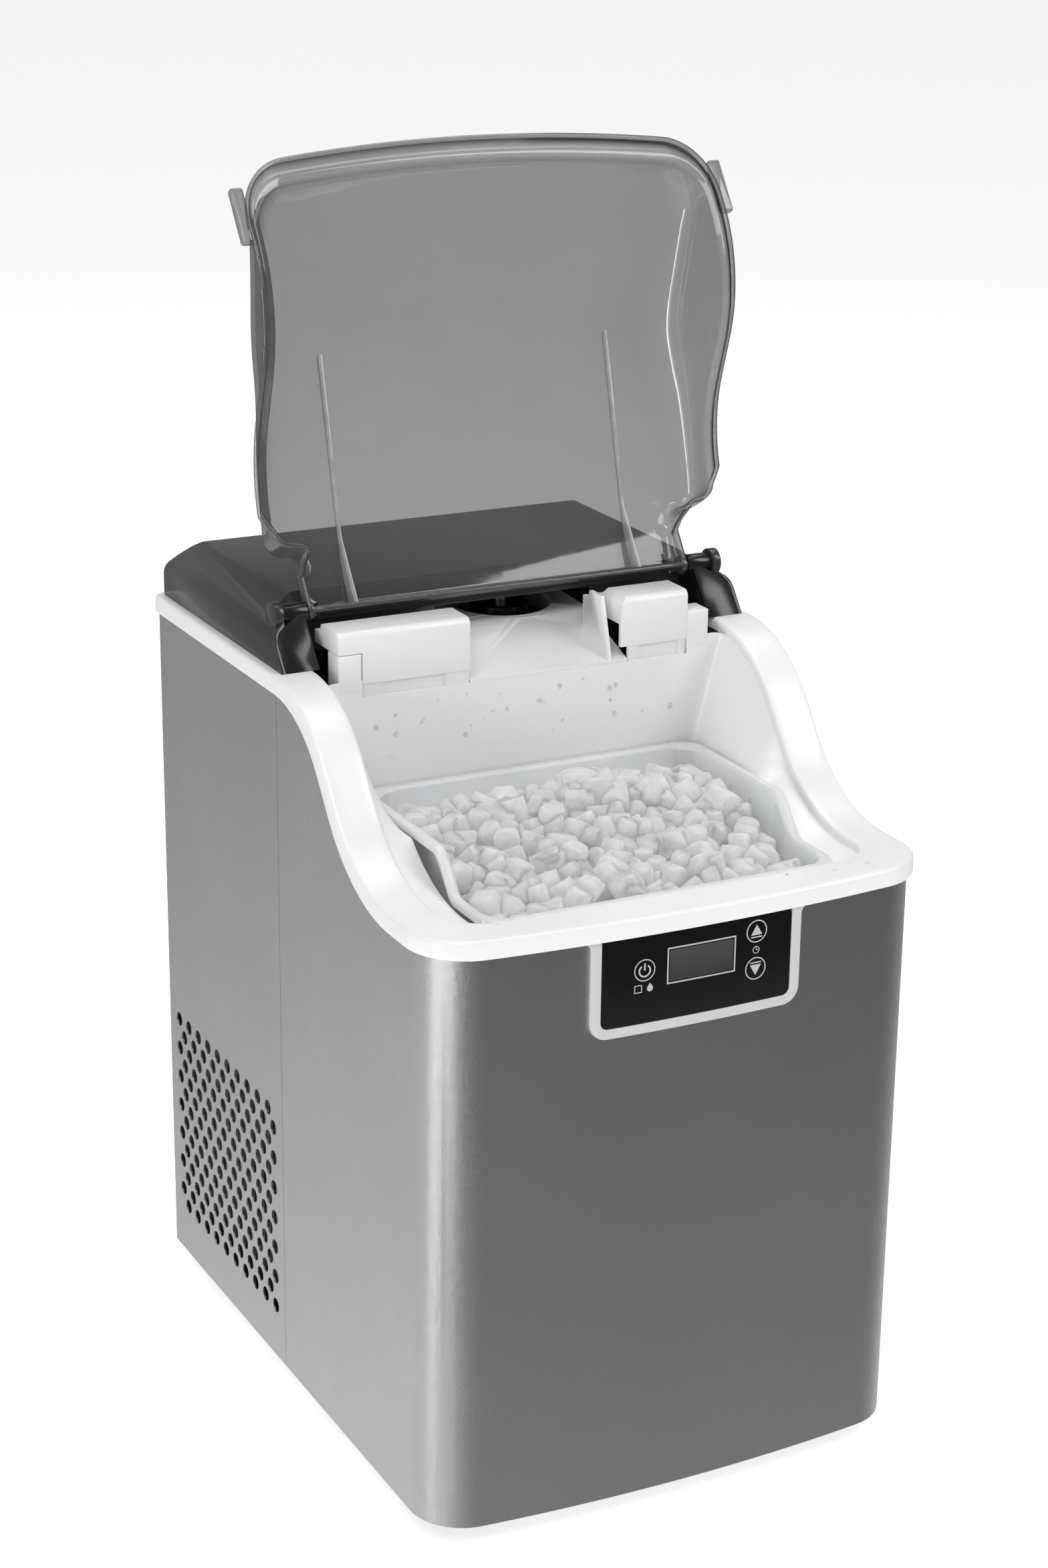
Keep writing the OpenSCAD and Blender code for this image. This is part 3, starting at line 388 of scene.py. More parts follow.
FINISHES = {
    "brushed_steel": lambda: brushed("brushed_steel", finish("steel"), 0.24, (1, 1, 40), 0.03, 0.05),
    "stainless": lambda: brushed("stainless", (0.55, 0.55, 0.55), 0.28, (1, 1, 30), 0.4),
    "galvanised_steel": lambda: brushed("galvanised_steel", (0.45, 0.46, 0.48), 0.42, (1, 1, 1), 9, 0.03),
    "white_plastic": lambda: plastic("white_plastic", finish("white"), 0.26, 0.02, 0.015),
    "light_grey_plastic": lambda: plastic("light_grey_plastic", (0.60, 0.60, 0.60), 0.28, 0.02, 0.02),
    "smoke_grey_plastic": lambda: plastic("smoke_grey_plastic", finish("cover"), 0.2, 0.015),
    "black_plastic": lambda: plastic("black_plastic", (0.010, 0.010, 0.010), 0.2, 0.02),
    "black_gloss": lambda: plastic("black_gloss", (0.004, 0.004, 0.004), 0.14, 0.004),
    "grey_plastic": lambda: plastic("grey_plastic", (0.10, 0.10, 0.105), 0.5, 0.08),
    "natural_plastic": lambda: plastic("natural_plastic", (0.72, 0.72, 0.70), 0.4, 0.03),
    "nylon": lambda: plastic("nylon", (0.75, 0.72, 0.62), 0.45, 0.03),
    "float_foam": lambda: plastic("float_foam", (0.80, 0.80, 0.79), 0.6, 0.1),
    "hose": lambda: plastic("hose", (0.55, 0.57, 0.58), 0.3, 0.02),
    "foam": lambda: soft("foam", (0.70, 0.64, 0.45), 0.9),
    "foam_rubber": lambda: soft("foam_rubber", (0.025, 0.025, 0.025), 0.9),
    "rubber": lambda: soft("rubber", (0.03, 0.03, 0.03)),
    "cast_alloy": lambda: brushed("cast_alloy", (0.42, 0.42, 0.43), 0.5, (1, 1, 1), 1.2, 0.1),
    "copper": lambda: brushed("copper", (0.66, 0.33, 0.20), 0.3, (1, 1, 6), 2.0, 0.02),
    "fin_aluminium": lambda: brushed("fin_aluminium", (0.62, 0.63, 0.64), 0.35, (1, 1, 20), 0.8, 0.02),
    "painted_grey": lambda: painted("painted_grey", (0.22, 0.22, 0.23), 0.35),
    "painted_black": lambda: painted("painted_black", (0.012, 0.012, 0.012), 0.3),
    "smoked_plastic": smoked_plastic,
    "rib_plastic": rib_plastic,
    "basket_plastic": frosted_plastic,
    "ice": ice,
    "water": water,
    "display": display,
    "circuit_board": circuit_board,
    "print": screen_print,
}


def material(slot):
    """The material of a slot, made the first time it is asked for."""
    found = bpy.data.materials.get("finish_" + slot)
    return found or FINISHES[slot]().material


# ---- modelling helpers ---------------------------------------------------------------------


def arc(centre, radius, start, end, steps):
    """Points round a centre from one angle to another, in degrees."""
    angles = [math.radians(start + (end - start) * i / steps) for i in range(steps + 1)]
    return [(centre[0] + radius * math.cos(a), centre[1] + radius * math.sin(a)) for a in angles]


def fall(y, off=0.0):
    """Height of the rim's top at depth y, for the same line moved down square to itself by off."""
    lean = math.radians(bpy.context.scene.ice_maker_shape.fall_angle * 180 / math.pi)
    sine, cosine = math.sin(lean), math.cos(lean)
    upper, lower = shape("upper_bend") - off, shape("lower_bend") + off
    start, front = shape("fall_start"), shape("rim_front")
    centre_z = shape("rim_rear") - shape("upper_bend")
    drop = centre_z + shape("upper_bend") * cosine - front - shape("lower_bend") * (1 - cosine)
    foot_y = start - shape("upper_bend") * sine - drop / math.tan(lean)
    lower_y, lower_z = foot_y - shape("lower_bend") * sine, front + shape("lower_bend")
    if y >= start:
        return shape("rim_rear") - off
    if y > start - upper * sine:
        return centre_z + math.sqrt(upper**2 - (y - start) ** 2)
    if y <= lower_y:
        return front - off
    if y < lower_y + lower * sine:
        return lower_z - math.sqrt(lower**2 - (y - lower_y) ** 2)
    return centre_z + upper * cosine - (start - upper * sine - y) * math.tan(lean)


def bow_circle():
    """Radius of the bowed front and the depth of its centre."""
    bow = shape("bow")
    radius = (HALF_W**2 + bow**2) / (2 * bow)
    return radius, radius + BODY_LOW.y


def front_y(x, out=0.0):
    """Depth of the bowed front at x, moved out by out."""
    radius, centre = bow_circle()
    return centre - math.sqrt((radius + out) ** 2 - x**2)


def body_outline(off, rear, rear_r, sides=70, across=48):
    """Closed outline of the body grown by off, from the rear right round the front."""
    radius, centre = bow_circle()
    corner, half = shape("corner"), HALF_W - shape("corner")
    cy = centre - math.sqrt((radius - corner) ** 2 - half**2)
    turn = math.degrees(math.atan2(cy - centre, half))
    w = HALF_W + off
    right = arc((w - rear_r, rear - rear_r), rear_r, 90, 0, 6)
    right += [(w, rear - rear_r + (cy - rear + rear_r) * i / sides) for i in range(1, sides)]
    right += arc((half, cy), corner + off, 0, turn, 16)
    front = arc((0, centre), radius + off, turn, -180 - turn, across)[1:-1]
    return right + front + [(-x, y) for x, y in reversed(right)]


def mouth_outline(off, rear, rear_r, sides=70, across=48):
    """Closed outline of the opening in the rim grown by off, with as many points as body_outline."""
    w, front, r = shape("mouth") + off, shape("mouth_front") - off, 22 + off
    right = arc((w - rear_r, rear - rear_r), rear_r, 90, 0, 6)
    right += [(w, rear - rear_r + (front + r - rear + rear_r) * i / sides) for i in range(1, sides)]
    right += arc((w - r, front + r), r, 0, -90, 16)
    span = w - r
    line = [(span - 2 * span * i / across, front) for i in range(1, across)]
    return right + line + [(-x, y) for x, y in reversed(right)]


def rounded_rect(low, high, radius, steps=6):
    """Closed outline of a rectangle with round corners."""
    (x0, y0), (x1, y1) = low, high
    return (arc((x1 - radius, y1 - radius), radius, 90, 0, steps) +
            arc((x1 - radius, y0 + radius), radius, 0, -90, steps) +
            arc((x0 + radius, y0 + radius), radius, -90, -180, steps) +
            arc((x0 + radius, y1 - radius), radius, 180, 90, steps))


def ring(bm, points):
    """A closed ring of new vertices and edges through the points."""
    verts = [bm.verts.new(p) for p in points]
    for a, b in zip(verts, verts[1:] + verts[:1]):
        bm.edges.new((a, b))
    return verts


def grow(bm, verts, points, closed=True):
    """Extrudes a ring of vertices and moves the new ring to the points, in the same order."""
    pairs = list(zip(verts, verts[1:] + verts[:1])) if closed else list(zip(verts, verts[1:]))
    edges = [bm.edges.get(pair) for pair in pairs]
    made = bmesh.ops.extrude_edge_only(bm, edges=edges)["geom"]
    fresh = {v for v in made if isinstance(v, bmesh.types.BMVert)}
    grown = [next(e.other_vert(v) for e in v.link_edges if e.other_vert(v) in fresh) for v in verts]
    for vert, point in zip(grown, points):
        vert.co = point
    return grown


def loft(bm, loops, closed=True):
    """A skin through loops of as many points each. Returns the first and last ring."""
    first = ring(bm, loops[0])
    last = first
    for loop in loops[1:]:
        last = grow(bm, last, loop, closed)
    return first, last


def fill(bm, verts):
    """Closes a ring with one face."""
    return bm.faces.new(verts)


def slab(bm, outline, depth, along=(0, 0, 1)):
    """A flat plate: the 3D outline filled and pushed along a direction by depth. Returns its vertices."""
    face = fill(bm, [bm.verts.new(p) for p in outline])
    made = bmesh.ops.extrude_face_region(bm, geom=[face])["geom"]
    moved = [v for v in made if isinstance(v, bmesh.types.BMVert)]
    bmesh.ops.translate(bm, verts=moved, vec=Vector(along) * depth)
    return list(face.verts) + moved


def block(bm, low, high, bevel=0.0, segments=3):
    """A box from corner to corner, with its edges rounded by bevel. Returns its vertices."""
    low, high = Vector(low), Vector(high)
    made = bmesh.ops.create_cube(bm, size=1.0)["verts"]
    bmesh.ops.scale(bm, verts=made, vec=high - low)
    bmesh.ops.translate(bm, verts=made, vec=(low + high) / 2)
    if bevel:
        edges = list({e for v in made for e in v.link_edges})
        made = round_edges(bm, edges, bevel, segments)
    return made


def round_edges(bm, edges, width, segments=3):
    """Rounds the edges, always in the same order. Returns the vertices of the rounding."""
    bm.edges.index_update()
    return bmesh.ops.bevel(bm, geom=sorted(set(edges), key=lambda edge: edge.index), offset=width, offset_type="OFFSET", affect="EDGES",
                           segments=segments, profile=0.5, material=-1, clamp_overlap=True)["verts"]


def rod(bm, start, end, radius, steps=32, bevel=0.0):
    """A cylinder between two points, with rounded ends. Returns its vertices."""
    start, end = Vector(start), Vector(end)
    span = end - start
    turn = span.to_track_quat("Z", "Y").to_matrix().to_4x4()
    made = bmesh.ops.create_cone(bm, cap_ends=True, segments=steps, radius1=radius, radius2=radius,
                                 depth=span.length, matrix=Matrix.Translation((start + end) / 2) @ turn)
    verts = made["verts"]
    if bevel:
        caps = [e for e in {e for v in verts for e in v.link_edges}
                if any(len(f.verts) > 4 for f in e.link_faces)]
        verts = round_edges(bm, caps, bevel, 3)
    return verts


def cut_rows(bm, axis, places, geom=None):
    """Cuts faces across an axis at each place, so that they can bend."""
    for place in places:
        point, normal = Vector((0, 0, 0)), Vector((0, 0, 0))
        point[axis], normal[axis] = place, 1
        parts = geom or bm.verts[:] + bm.edges[:] + bm.faces[:]
        bmesh.ops.bisect_plane(bm, geom=parts, plane_co=point, plane_no=normal, dist=1e-4)


def finish_piece(name, bm, body, slot, replaces=(), angle=40, turn_out=True, look=None):
    """Makes the bmesh an object in metres that rides on a body, with the finish of a slot."""
    if turn_out:
        bmesh.ops.recalc_face_normals(bm, faces=bm.faces[:])
    bmesh.ops.scale(bm, verts=bm.verts[:], vec=(MM, MM, MM))
    mesh = bpy.data.meshes.new(name)
    bm.to_mesh(mesh)
    bm.free()
    piece = bpy.data.objects.new(name, mesh)
    bpy.context.scene.collection.objects.link(piece)
    mesh.materials.append(material(look or slot))
    mesh.shade_smooth()
    mesh.set_sharp_from_angle(angle=math.radians(angle))
    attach(piece, body)
    slot in SLOTS
    if replaces:
        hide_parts(*replaces)
    return piece


SLOTS = {m["slot"] for m in frame["record"]["materials"]}


def wall(piece, thickness, side=-1):
    """Gives an open sheet its wall thickness, in millimetres."""
    solid = piece.modifiers.new("wall", "SOLIDIFY")
    solid.thickness = thickness * MM
    solid.offset = side


def thicken(bm, thickness, inside):
    """Gives an open sheet its thickness, on the side of a point inside."""
    bmesh.ops.recalc_face_normals(bm, faces=bm.faces[:])
    inside = Vector(inside)
    outward = sum(f.normal.dot(f.calc_center_median() - inside) * f.calc_area() for f in bm.faces)
    if outward < 0:
        bmesh.ops.reverse_faces(bm, faces=bm.faces[:])
    bmesh.ops.solidify(bm, geom=bm.faces[:], thickness=thickness)


def body_of_node(node):
    """The body that a node rides on."""
    return next(b for b, nodes in frame["record"]["behaviour"]["bodies"].items() if node in nodes)


def slot_of_node(node):
    """The material slot that the record gives a node."""
    return next(p["material_slot"] for p in frame["record"]["subparts"] if p["node"] == node)


def softened(node, width, angle=35, segments=2):
    """A copy of a node with merged faces and its edges rounded by width, which stands for it."""
    bm = bmesh.new()
    bm.from_mesh(frame["nodes"][node].data)
    bmesh.ops.scale(bm, verts=bm.verts[:], vec=(1 / MM,) * 3)
    bmesh.ops.remove_doubles(bm, verts=bm.verts[:], dist=0.002)
    bmesh.ops.dissolve_limit(bm, angle_limit=math.radians(0.6), verts=bm.verts[:], edges=bm.edges[:],
                             delimit=set())
    sharp = [e for e in bm.edges if len(e.link_faces) == 2 and e.calc_face_angle(0) > math.radians(angle)]
    bmesh.ops.bevel(bm, geom=sharp, offset=width, offset_type="OFFSET", affect="EDGES", segments=segments,
                    profile=0.5, material=-1, clamp_overlap=True)
    return finish_piece(node + "_shell", bm, body_of_node(node), slot_of_node(node), [node],
                        turn_out=False)


# ---- builders --------------------------------------------------------------------------------


class Builder(bpy.types.Operator):
    """Base of the builders: they run without a dialog and leave the scene ready to render."""

    bl_options = {"REGISTER"}


class ICEMAKER_OT_steel(Builder):
    """The wrap-round front sheet of brushed steel"""

    bl_idname = "icemaker.steel"
    bl_label = "Steel front"

    def execute(self, context):
        seam = SIDE_LOW.y - 0.3
        bm = bmesh.new()
        outline = [(x, y) for x, y in body_outline(0, 60, 2, 90, 80) if y < seam]
        outline = [(HALF_W, seam), *outline, (-HALF_W, seam)]
        base = BODY_LOW.z
        low = [bm.verts.new((x, y, base)) for x, y in outline]
        for a, b in zip(low, low[1:]):
            bm.edges.new((a, b))
        grow(bm, low, [(x, y, fall(y, 4)) for x, y in outline], closed=False)
        cut_rows(bm, 0, [OVERLAY_LOW.x - 1, OVERLAY_HIGH.x + 1])
        cut_rows(bm, 2, [OVERLAY_LOW.z - 1])
        opening = [f for f in bm.faces if abs(f.calc_center_median().x) < OVERLAY_HIGH.x
                   and f.calc_center_median().y < -100 and f.calc_center_median().z > OVERLAY_LOW.z - 1]
        bmesh.ops.delete(bm, geom=opening, context="FACES")
        thicken(bm, 0.8, (0, -20, 150))
        finish_piece("front_sheet", bm, "cabinet", "brushed_steel", ["front_panel"], turn_out=False)
        return {"FINISHED"}


class ICEMAKER_OT_rim(Builder):
    """The white rim with its edge band, and the walls of the ice bin"""

    bl_idname = "icemaker.rim"
    bl_label = "Rim and bin"

    def execute(self, context):
        over = RIM_HIGH.x - HALF_W
        band = shape("band")
        rear = RIM_HIGH.y - over
        bm = bmesh.new()

        def outer(off, down):
            return [(x, y, fall(y, down)) for x, y in body_outline(off, rear + off, 5 + off)]

        def inner(off, down):
            return [(x, y, fall(y, down)) for x, y in mouth_outline(off, 165, 6)]

        curve = [math.radians(a) for a in (0, 22, 45, 68, 90)]
        lower = [outer(over - 1 + math.sin(a), band - 1 + math.cos(a)) for a in curve]
        upper = [outer(over - 2.2 + 2.2 * math.cos(a), 2.2 - 2.2 * math.sin(a)) for a in curve]
        lips = [inner(2.4 - 2.4 * math.sin(a), 2.4 - 2.4 * math.cos(a)) for a in curve]
        first, last = loft(bm, [outer(0.4, band)] + lower + upper + [outer(-4, 0)] +
                           [inner(6, 0)] + lips + [inner(0, 6)])
        self.bin(bm)
        finish_piece("rim_and_bin", bm, "cabinet", "white_plastic", ["top_frame"], angle=50, turn_out=False)
        return {"FINISHED"}

    def bin(self, bm):
        """Sloping walls of the well, the bin below them and the shoulders beside the chute."""
        lip_high, lip_low = BASKET_HIGH.z, shape("lip_front")
        wall_x, floor = BASKET_HIGH.x + 1.5, BASKET_LOW.z - 2

        def lip(y):
            """Height of the bin's ledge, a little below the basket's lip."""
            step = min(1.0, max(0.0, (shape("lip_fall") - y + 2) / 26))
            return lip_high - 3 - (lip_high - lip_low) * step * step * (3 - 2 * step)

        def level(share, drop):
            """A ring part of the way from the mouth down to the ledge."""
            points = []
            start = mouth_outline(0, 0.5, 6)
            end = mouth_outline(wall_x - shape("mouth"), 0.5, 5)
            for (x0, y0), (x1, y1) in zip(start, end):
                y1 = max(y1, shape("mouth_front") + 0.6)
                top = min(fall(y0, 4.5), shape("rim_rear") - 4.5)
                low = min(lip(y0), top - 3)
                points.append((x0 + (x1 - x0) * share, y0 + (y1 - y0) * share, top + (low - top) * share - drop))
            return points

        shares = [0, 0.12, 0.3, 0.5, 0.7, 0.88, 1.0]
        ease = [s + 0.06 * math.sin(2 * math.pi * s) for s in shares]
        last = loft(bm, [level(s, 0) for s in ease])[1]
        last = grow(bm, last, [(v.co.x, v.co.y, floor) for v in last])
        fill(bm, last)
        # way out of the chute through the rear wall
        slot_x, slot_z = 93.5, 387.5
        rear = [f for f in bm.faces if f.calc_center_median().y > -8 and f.calc_center_median().y < 3
                and abs(f.calc_center_median().x) < shape("mouth") + 1]
        parts = list({g for f in rear for g in [*f.verts, *f.edges, f]})
        for place, normal in (((slot_x, 0, 0), (1, 0, 0)), ((-slot_x, 0, 0), (1, 0, 0)),
                              ((0, 0, slot_z), (0, 0, 1))):
            made = bmesh.ops.bisect_plane(bm, geom=parts, plane_co=place, plane_no=normal, dist=1e-4)
            parts = list(made["geom"])
        gone = [g for g in parts if isinstance(g, bmesh.types.BMFace) and g.is_valid
                and abs(g.calc_center_median().x) < slot_x and g.calc_center_median().z > slot_z
                and g.calc_center_median().y > -2]
        bmesh.ops.delete(bm, geom=gone, context="FACES")
        for side in (-1, 1):
            xs = sorted((side * (slot_x + 0.3), side * 106.5))
            block(bm, (xs[0], 0.45, 390), (xs[1], 14, 410.3), 0.7)
        # ledge behind the slot
        block(bm, (-slot_x, 0.52, slot_z - 14), (slot_x, 3, slot_z), 0.4)


class ICEMAKER_OT_basket(Builder):
    """The translucent lift-out basket"""

    bl_idname = "icemaker.basket"
    bl_label = "Ice basket"

    def execute(self, context):
        lip_high, lip_low = BASKET_HIGH.z, shape("lip_front")
        fall_y = shape("lip_fall")

        def lip(y, drop=0.0):
            step = min(1.0, max(0.0, (fall_y - y) / 23))
            return lip_high - drop - (lip_high - lip_low) * step * step * (3 - 2 * step)

        def outline(inset, radius):
            low = (BASKET_LOW.x + inset, BASKET_LOW.y + inset)
            high = (BASKET_HIGH.x - inset, BASKET_HIGH.y - inset)
            (x0, y0), (x1, y1) = low, high
            rows = 60
            right = arc((x1 - radius, y1 - radius), radius, 90, 0, 8)
            right += [(x1, y1 - radius + (y0 - y1 + 2 * radius) * i / rows) for i in range(1, rows)]
            right += arc((x1 - radius, y0 + radius), radius, 0, -90, 8)
            return right + [(-x, y) for x, y in reversed(right)]

        def level(inset, drop, radius=13.0):
            return [(x, y, lip(y, drop)) for x, y in outline(inset, radius)]

        def base(inset, height, radius=11.0):
            return [(x, y, height) for x, y in outline(inset, radius)]

        floor = BASKET_LOW.z
        bm = bmesh.new()
        loops = [base(12, floor + 2), base(11, floor + 3.5), base(7.5, lip_low - 12)]
        loops = [loops[0], loops[1], loops[2], level(6, 2.4), level(4.8, 0.5), level(4.2, 0),
                 level(1.0, 0), level(0.3, 0.4), level(0, 1.0), level(0, 3.6), level(0.3, 4), level(1.2, 4),
                 level(1.4, 2.0), level(4.6, 2.0), level(4.9, 2.6), base(5.6, lip_low - 12, 12),
                 base(9.2, floor + 2, 12), base(10.2, floor, 12)]
        first, last = loft(bm, loops)
        fill(bm, first)
        fill(bm, last)
        # outlines of finger recesses on the two long walls, drawn as thin rods
        for side in (-1, 1):
            for radius in (11.0, 9.6):
                centre = Vector((side * (BASKET_HIGH.x - 6.4), -62, lip_high - 9))
                points = [centre + Vector((0, radius * math.cos(t), -radius * abs(math.sin(t))))
                          for t in (math.pi * i / 20 for i in range(21))]
                for a, b in zip(points, points[1:]):
                    rod(bm, a, b, 0.5, 8)
        finish_piece("basket_shell", bm, "basket", "basket_plastic", ["ice_basket"], angle=35)
        return {"FINISHED"}


class ICEMAKER_OT_ice(Builder):
    """A heap of soft ice nuggets in the basket"""

    bl_idname = "icemaker.ice"
    bl_label = "Ice nuggets"

    def execute(self, context):
        draw = random.Random(7)
        kinds = [self.nugget(draw) for _ in range(9)]
        size = finish("nugget") / MM
        low, high = BASKET_LOW + Vector((15.5, 15.5, 0)), BASKET_HIGH - Vector((15.5, 15.5, 0))
        across = finish("nuggets")
        pitch = (high.x - low.x) / across
        rows = int((high.y - low.y) / pitch)
        bm = bmesh.new()
        for layer in range(3):
            for i in range(across + 1):
                for j in range(rows + 1):
                    x = low.x + pitch * (i + draw.uniform(-0.45, 0.45) + 0.5 * (layer % 2))
                    y = low.y + pitch * (j + draw.uniform(-0.45, 0.45) + 0.5 * (layer % 2))
                    x, y = min(max(x, low.x), high.x), min(max(y, low.y), high.y)
                    z = self.heap(x, y) - 3 - layer * size * 0.62 + draw.uniform(-3.2, 2.6)
                    scale = size * draw.uniform(0.82, 1.2)
                    turn = Matrix.Rotation(draw.uniform(0, 6.28), 3, Vector((draw.uniform(-1, 1),
                                           draw.uniform(-1, 1), draw.uniform(-1, 1))).normalized())
                    start = len(bm.verts)
                    bm.from_mesh(draw.choice(kinds))
                    bm.verts.ensure_lookup_table()
                    fresh = bm.verts[start:]
                    place = Matrix.Translation((x, y, z)) @ turn.to_4x4() @ Matrix.Scale(scale, 4)
                    bmesh.ops.transform(bm, matrix=place, verts=fresh)
        for kind in kinds:
            bpy.data.meshes.remove(kind)
        finish_piece("ice_heap", bm, "basket", "ice", [], angle=38, turn_out=False)
        core = bmesh.new()
        made = bmesh.ops.create_grid(core, x_segments=24, y_segments=20, size=0.5)["verts"]
        bmesh.ops.scale(core, verts=made, vec=(high.x - low.x + 6, high.y - low.y + 6, 1))
        bmesh.ops.translate(core, verts=made, vec=(0, (high.y + low.y) / 2, 0))
        for vert in made:
            vert.co.z = self.heap(vert.co.x, vert.co.y) - 17
        rim = bmesh.ops.extrude_edge_only(core, edges=[e for e in core.edges if e.is_boundary])["geom"]
        lower = [v for v in rim if isinstance(v, bmesh.types.BMVert)]
        for vert in lower:
            vert.co = (vert.co.x * 0.94, vert.co.y * 0.94 - 4, BASKET_LOW.z + 4)
        bmesh.ops.contextual_create(core, geom=[e for e in core.edges if e.is_boundary])
        finish_piece("ice_core", core, "basket", "ice", ["nugget_ice"])
        return {"FINISHED"}

    def heap(self, x, y):
        """Height of the heap's surface."""
        away = (x / BASKET_HIGH.x) ** 2
        rise = min(1.0, max(0.0, (y - BASKET_LOW.y) / 100))
        wave = noise.noise(Vector((x / 34, y / 30, 3.1))) * 7
        back = max(0.0, (y + 34) / 30)
        return 316 + 20 * rise - 8 * away + wave - 4 * back

    def nugget(self, draw):
        """One nugget about a unit wide: a short stub with broken faces."""
        bm = bmesh.new()
        bmesh.ops.create_cone(bm, cap_ends=True, segments=7, radius1=draw.uniform(0.40, 0.5),
                              radius2=draw.uniform(0.36, 0.5), depth=draw.uniform(0.72, 1.0))
        for _ in range(draw.randint(1, 3)):
            normal = Vector((draw.uniform(-1, 1), draw.uniform(-1, 1), draw.uniform(-1, 1))).normalized()
            made = bmesh.ops.bisect_plane(bm, geom=bm.verts[:] + bm.edges[:] + bm.faces[:],
                                          plane_co=normal * draw.uniform(0.3, 0.42), plane_no=normal,
                                          clear_outer=True)
            edges = [g for g in made["geom_cut"] if isinstance(g, bmesh.types.BMEdge)]
            if edges:
                bmesh.ops.contextual_create(bm, geom=edges)
        bmesh.ops.remove_doubles(bm, verts=bm.verts[:], dist=0.03)
        bmesh.ops.bevel(bm, geom=bm.edges[:], offset=0.07, offset_type="OFFSET", affect="EDGES", segments=1,
                        profile=0.5, material=-1, clamp_overlap=True)
        shift = Vector((draw.random() * 9, 0, 0))
        for vert in bm.verts:
            vert.co += noise.noise_vector(vert.co * 2.3 + shift) * 0.06
        bmesh.ops.recalc_face_normals(bm, faces=bm.faces[:])
        mesh = bpy.data.meshes.new("nugget_kind")
        bm.to_mesh(mesh)
        bm.free()
        return mesh


class ICEMAKER_OT_drops(Builder):
    """Water drops on the rear wall and rim of the bin"""

    bl_idname = "icemaker.drops"
    bl_label = "Water drops"

    def execute(self, context):
        draw = random.Random(21)
        bm = bmesh.new()
        for _ in range(finish("drops")):
            size = draw.choice((0.35, 0.4, 0.5, 0.6, 0.9, 1.3))
            place = Vector((draw.uniform(-88, 92), 0.45, draw.uniform(343, 384)))
            made = bmesh.ops.create_uvsphere(bm, u_segments=10, v_segments=6, radius=size)["verts"]
            bmesh.ops.scale(bm, verts=made, vec=(1, 0.45, draw.uniform(1.0, 1.25)))
            bmesh.ops.translate(bm, verts=made, vec=place)
        for x, y in ((-101, -152.5), (-96, -158), (-108, -120), (104, -163), (60, -160), (84, -165)):
            made = bmesh.ops.create_uvsphere(bm, u_segments=12, v_segments=8, radius=0.9)["verts"]
            bmesh.ops.scale(bm, verts=made, vec=(1, 1, 0.55))
            bmesh.ops.translate(bm, verts=made, vec=(x, y, fall(y) + 0.1))
        finish_piece("water_drops", bm, "cabinet", "water")
        return {"FINISHED"}


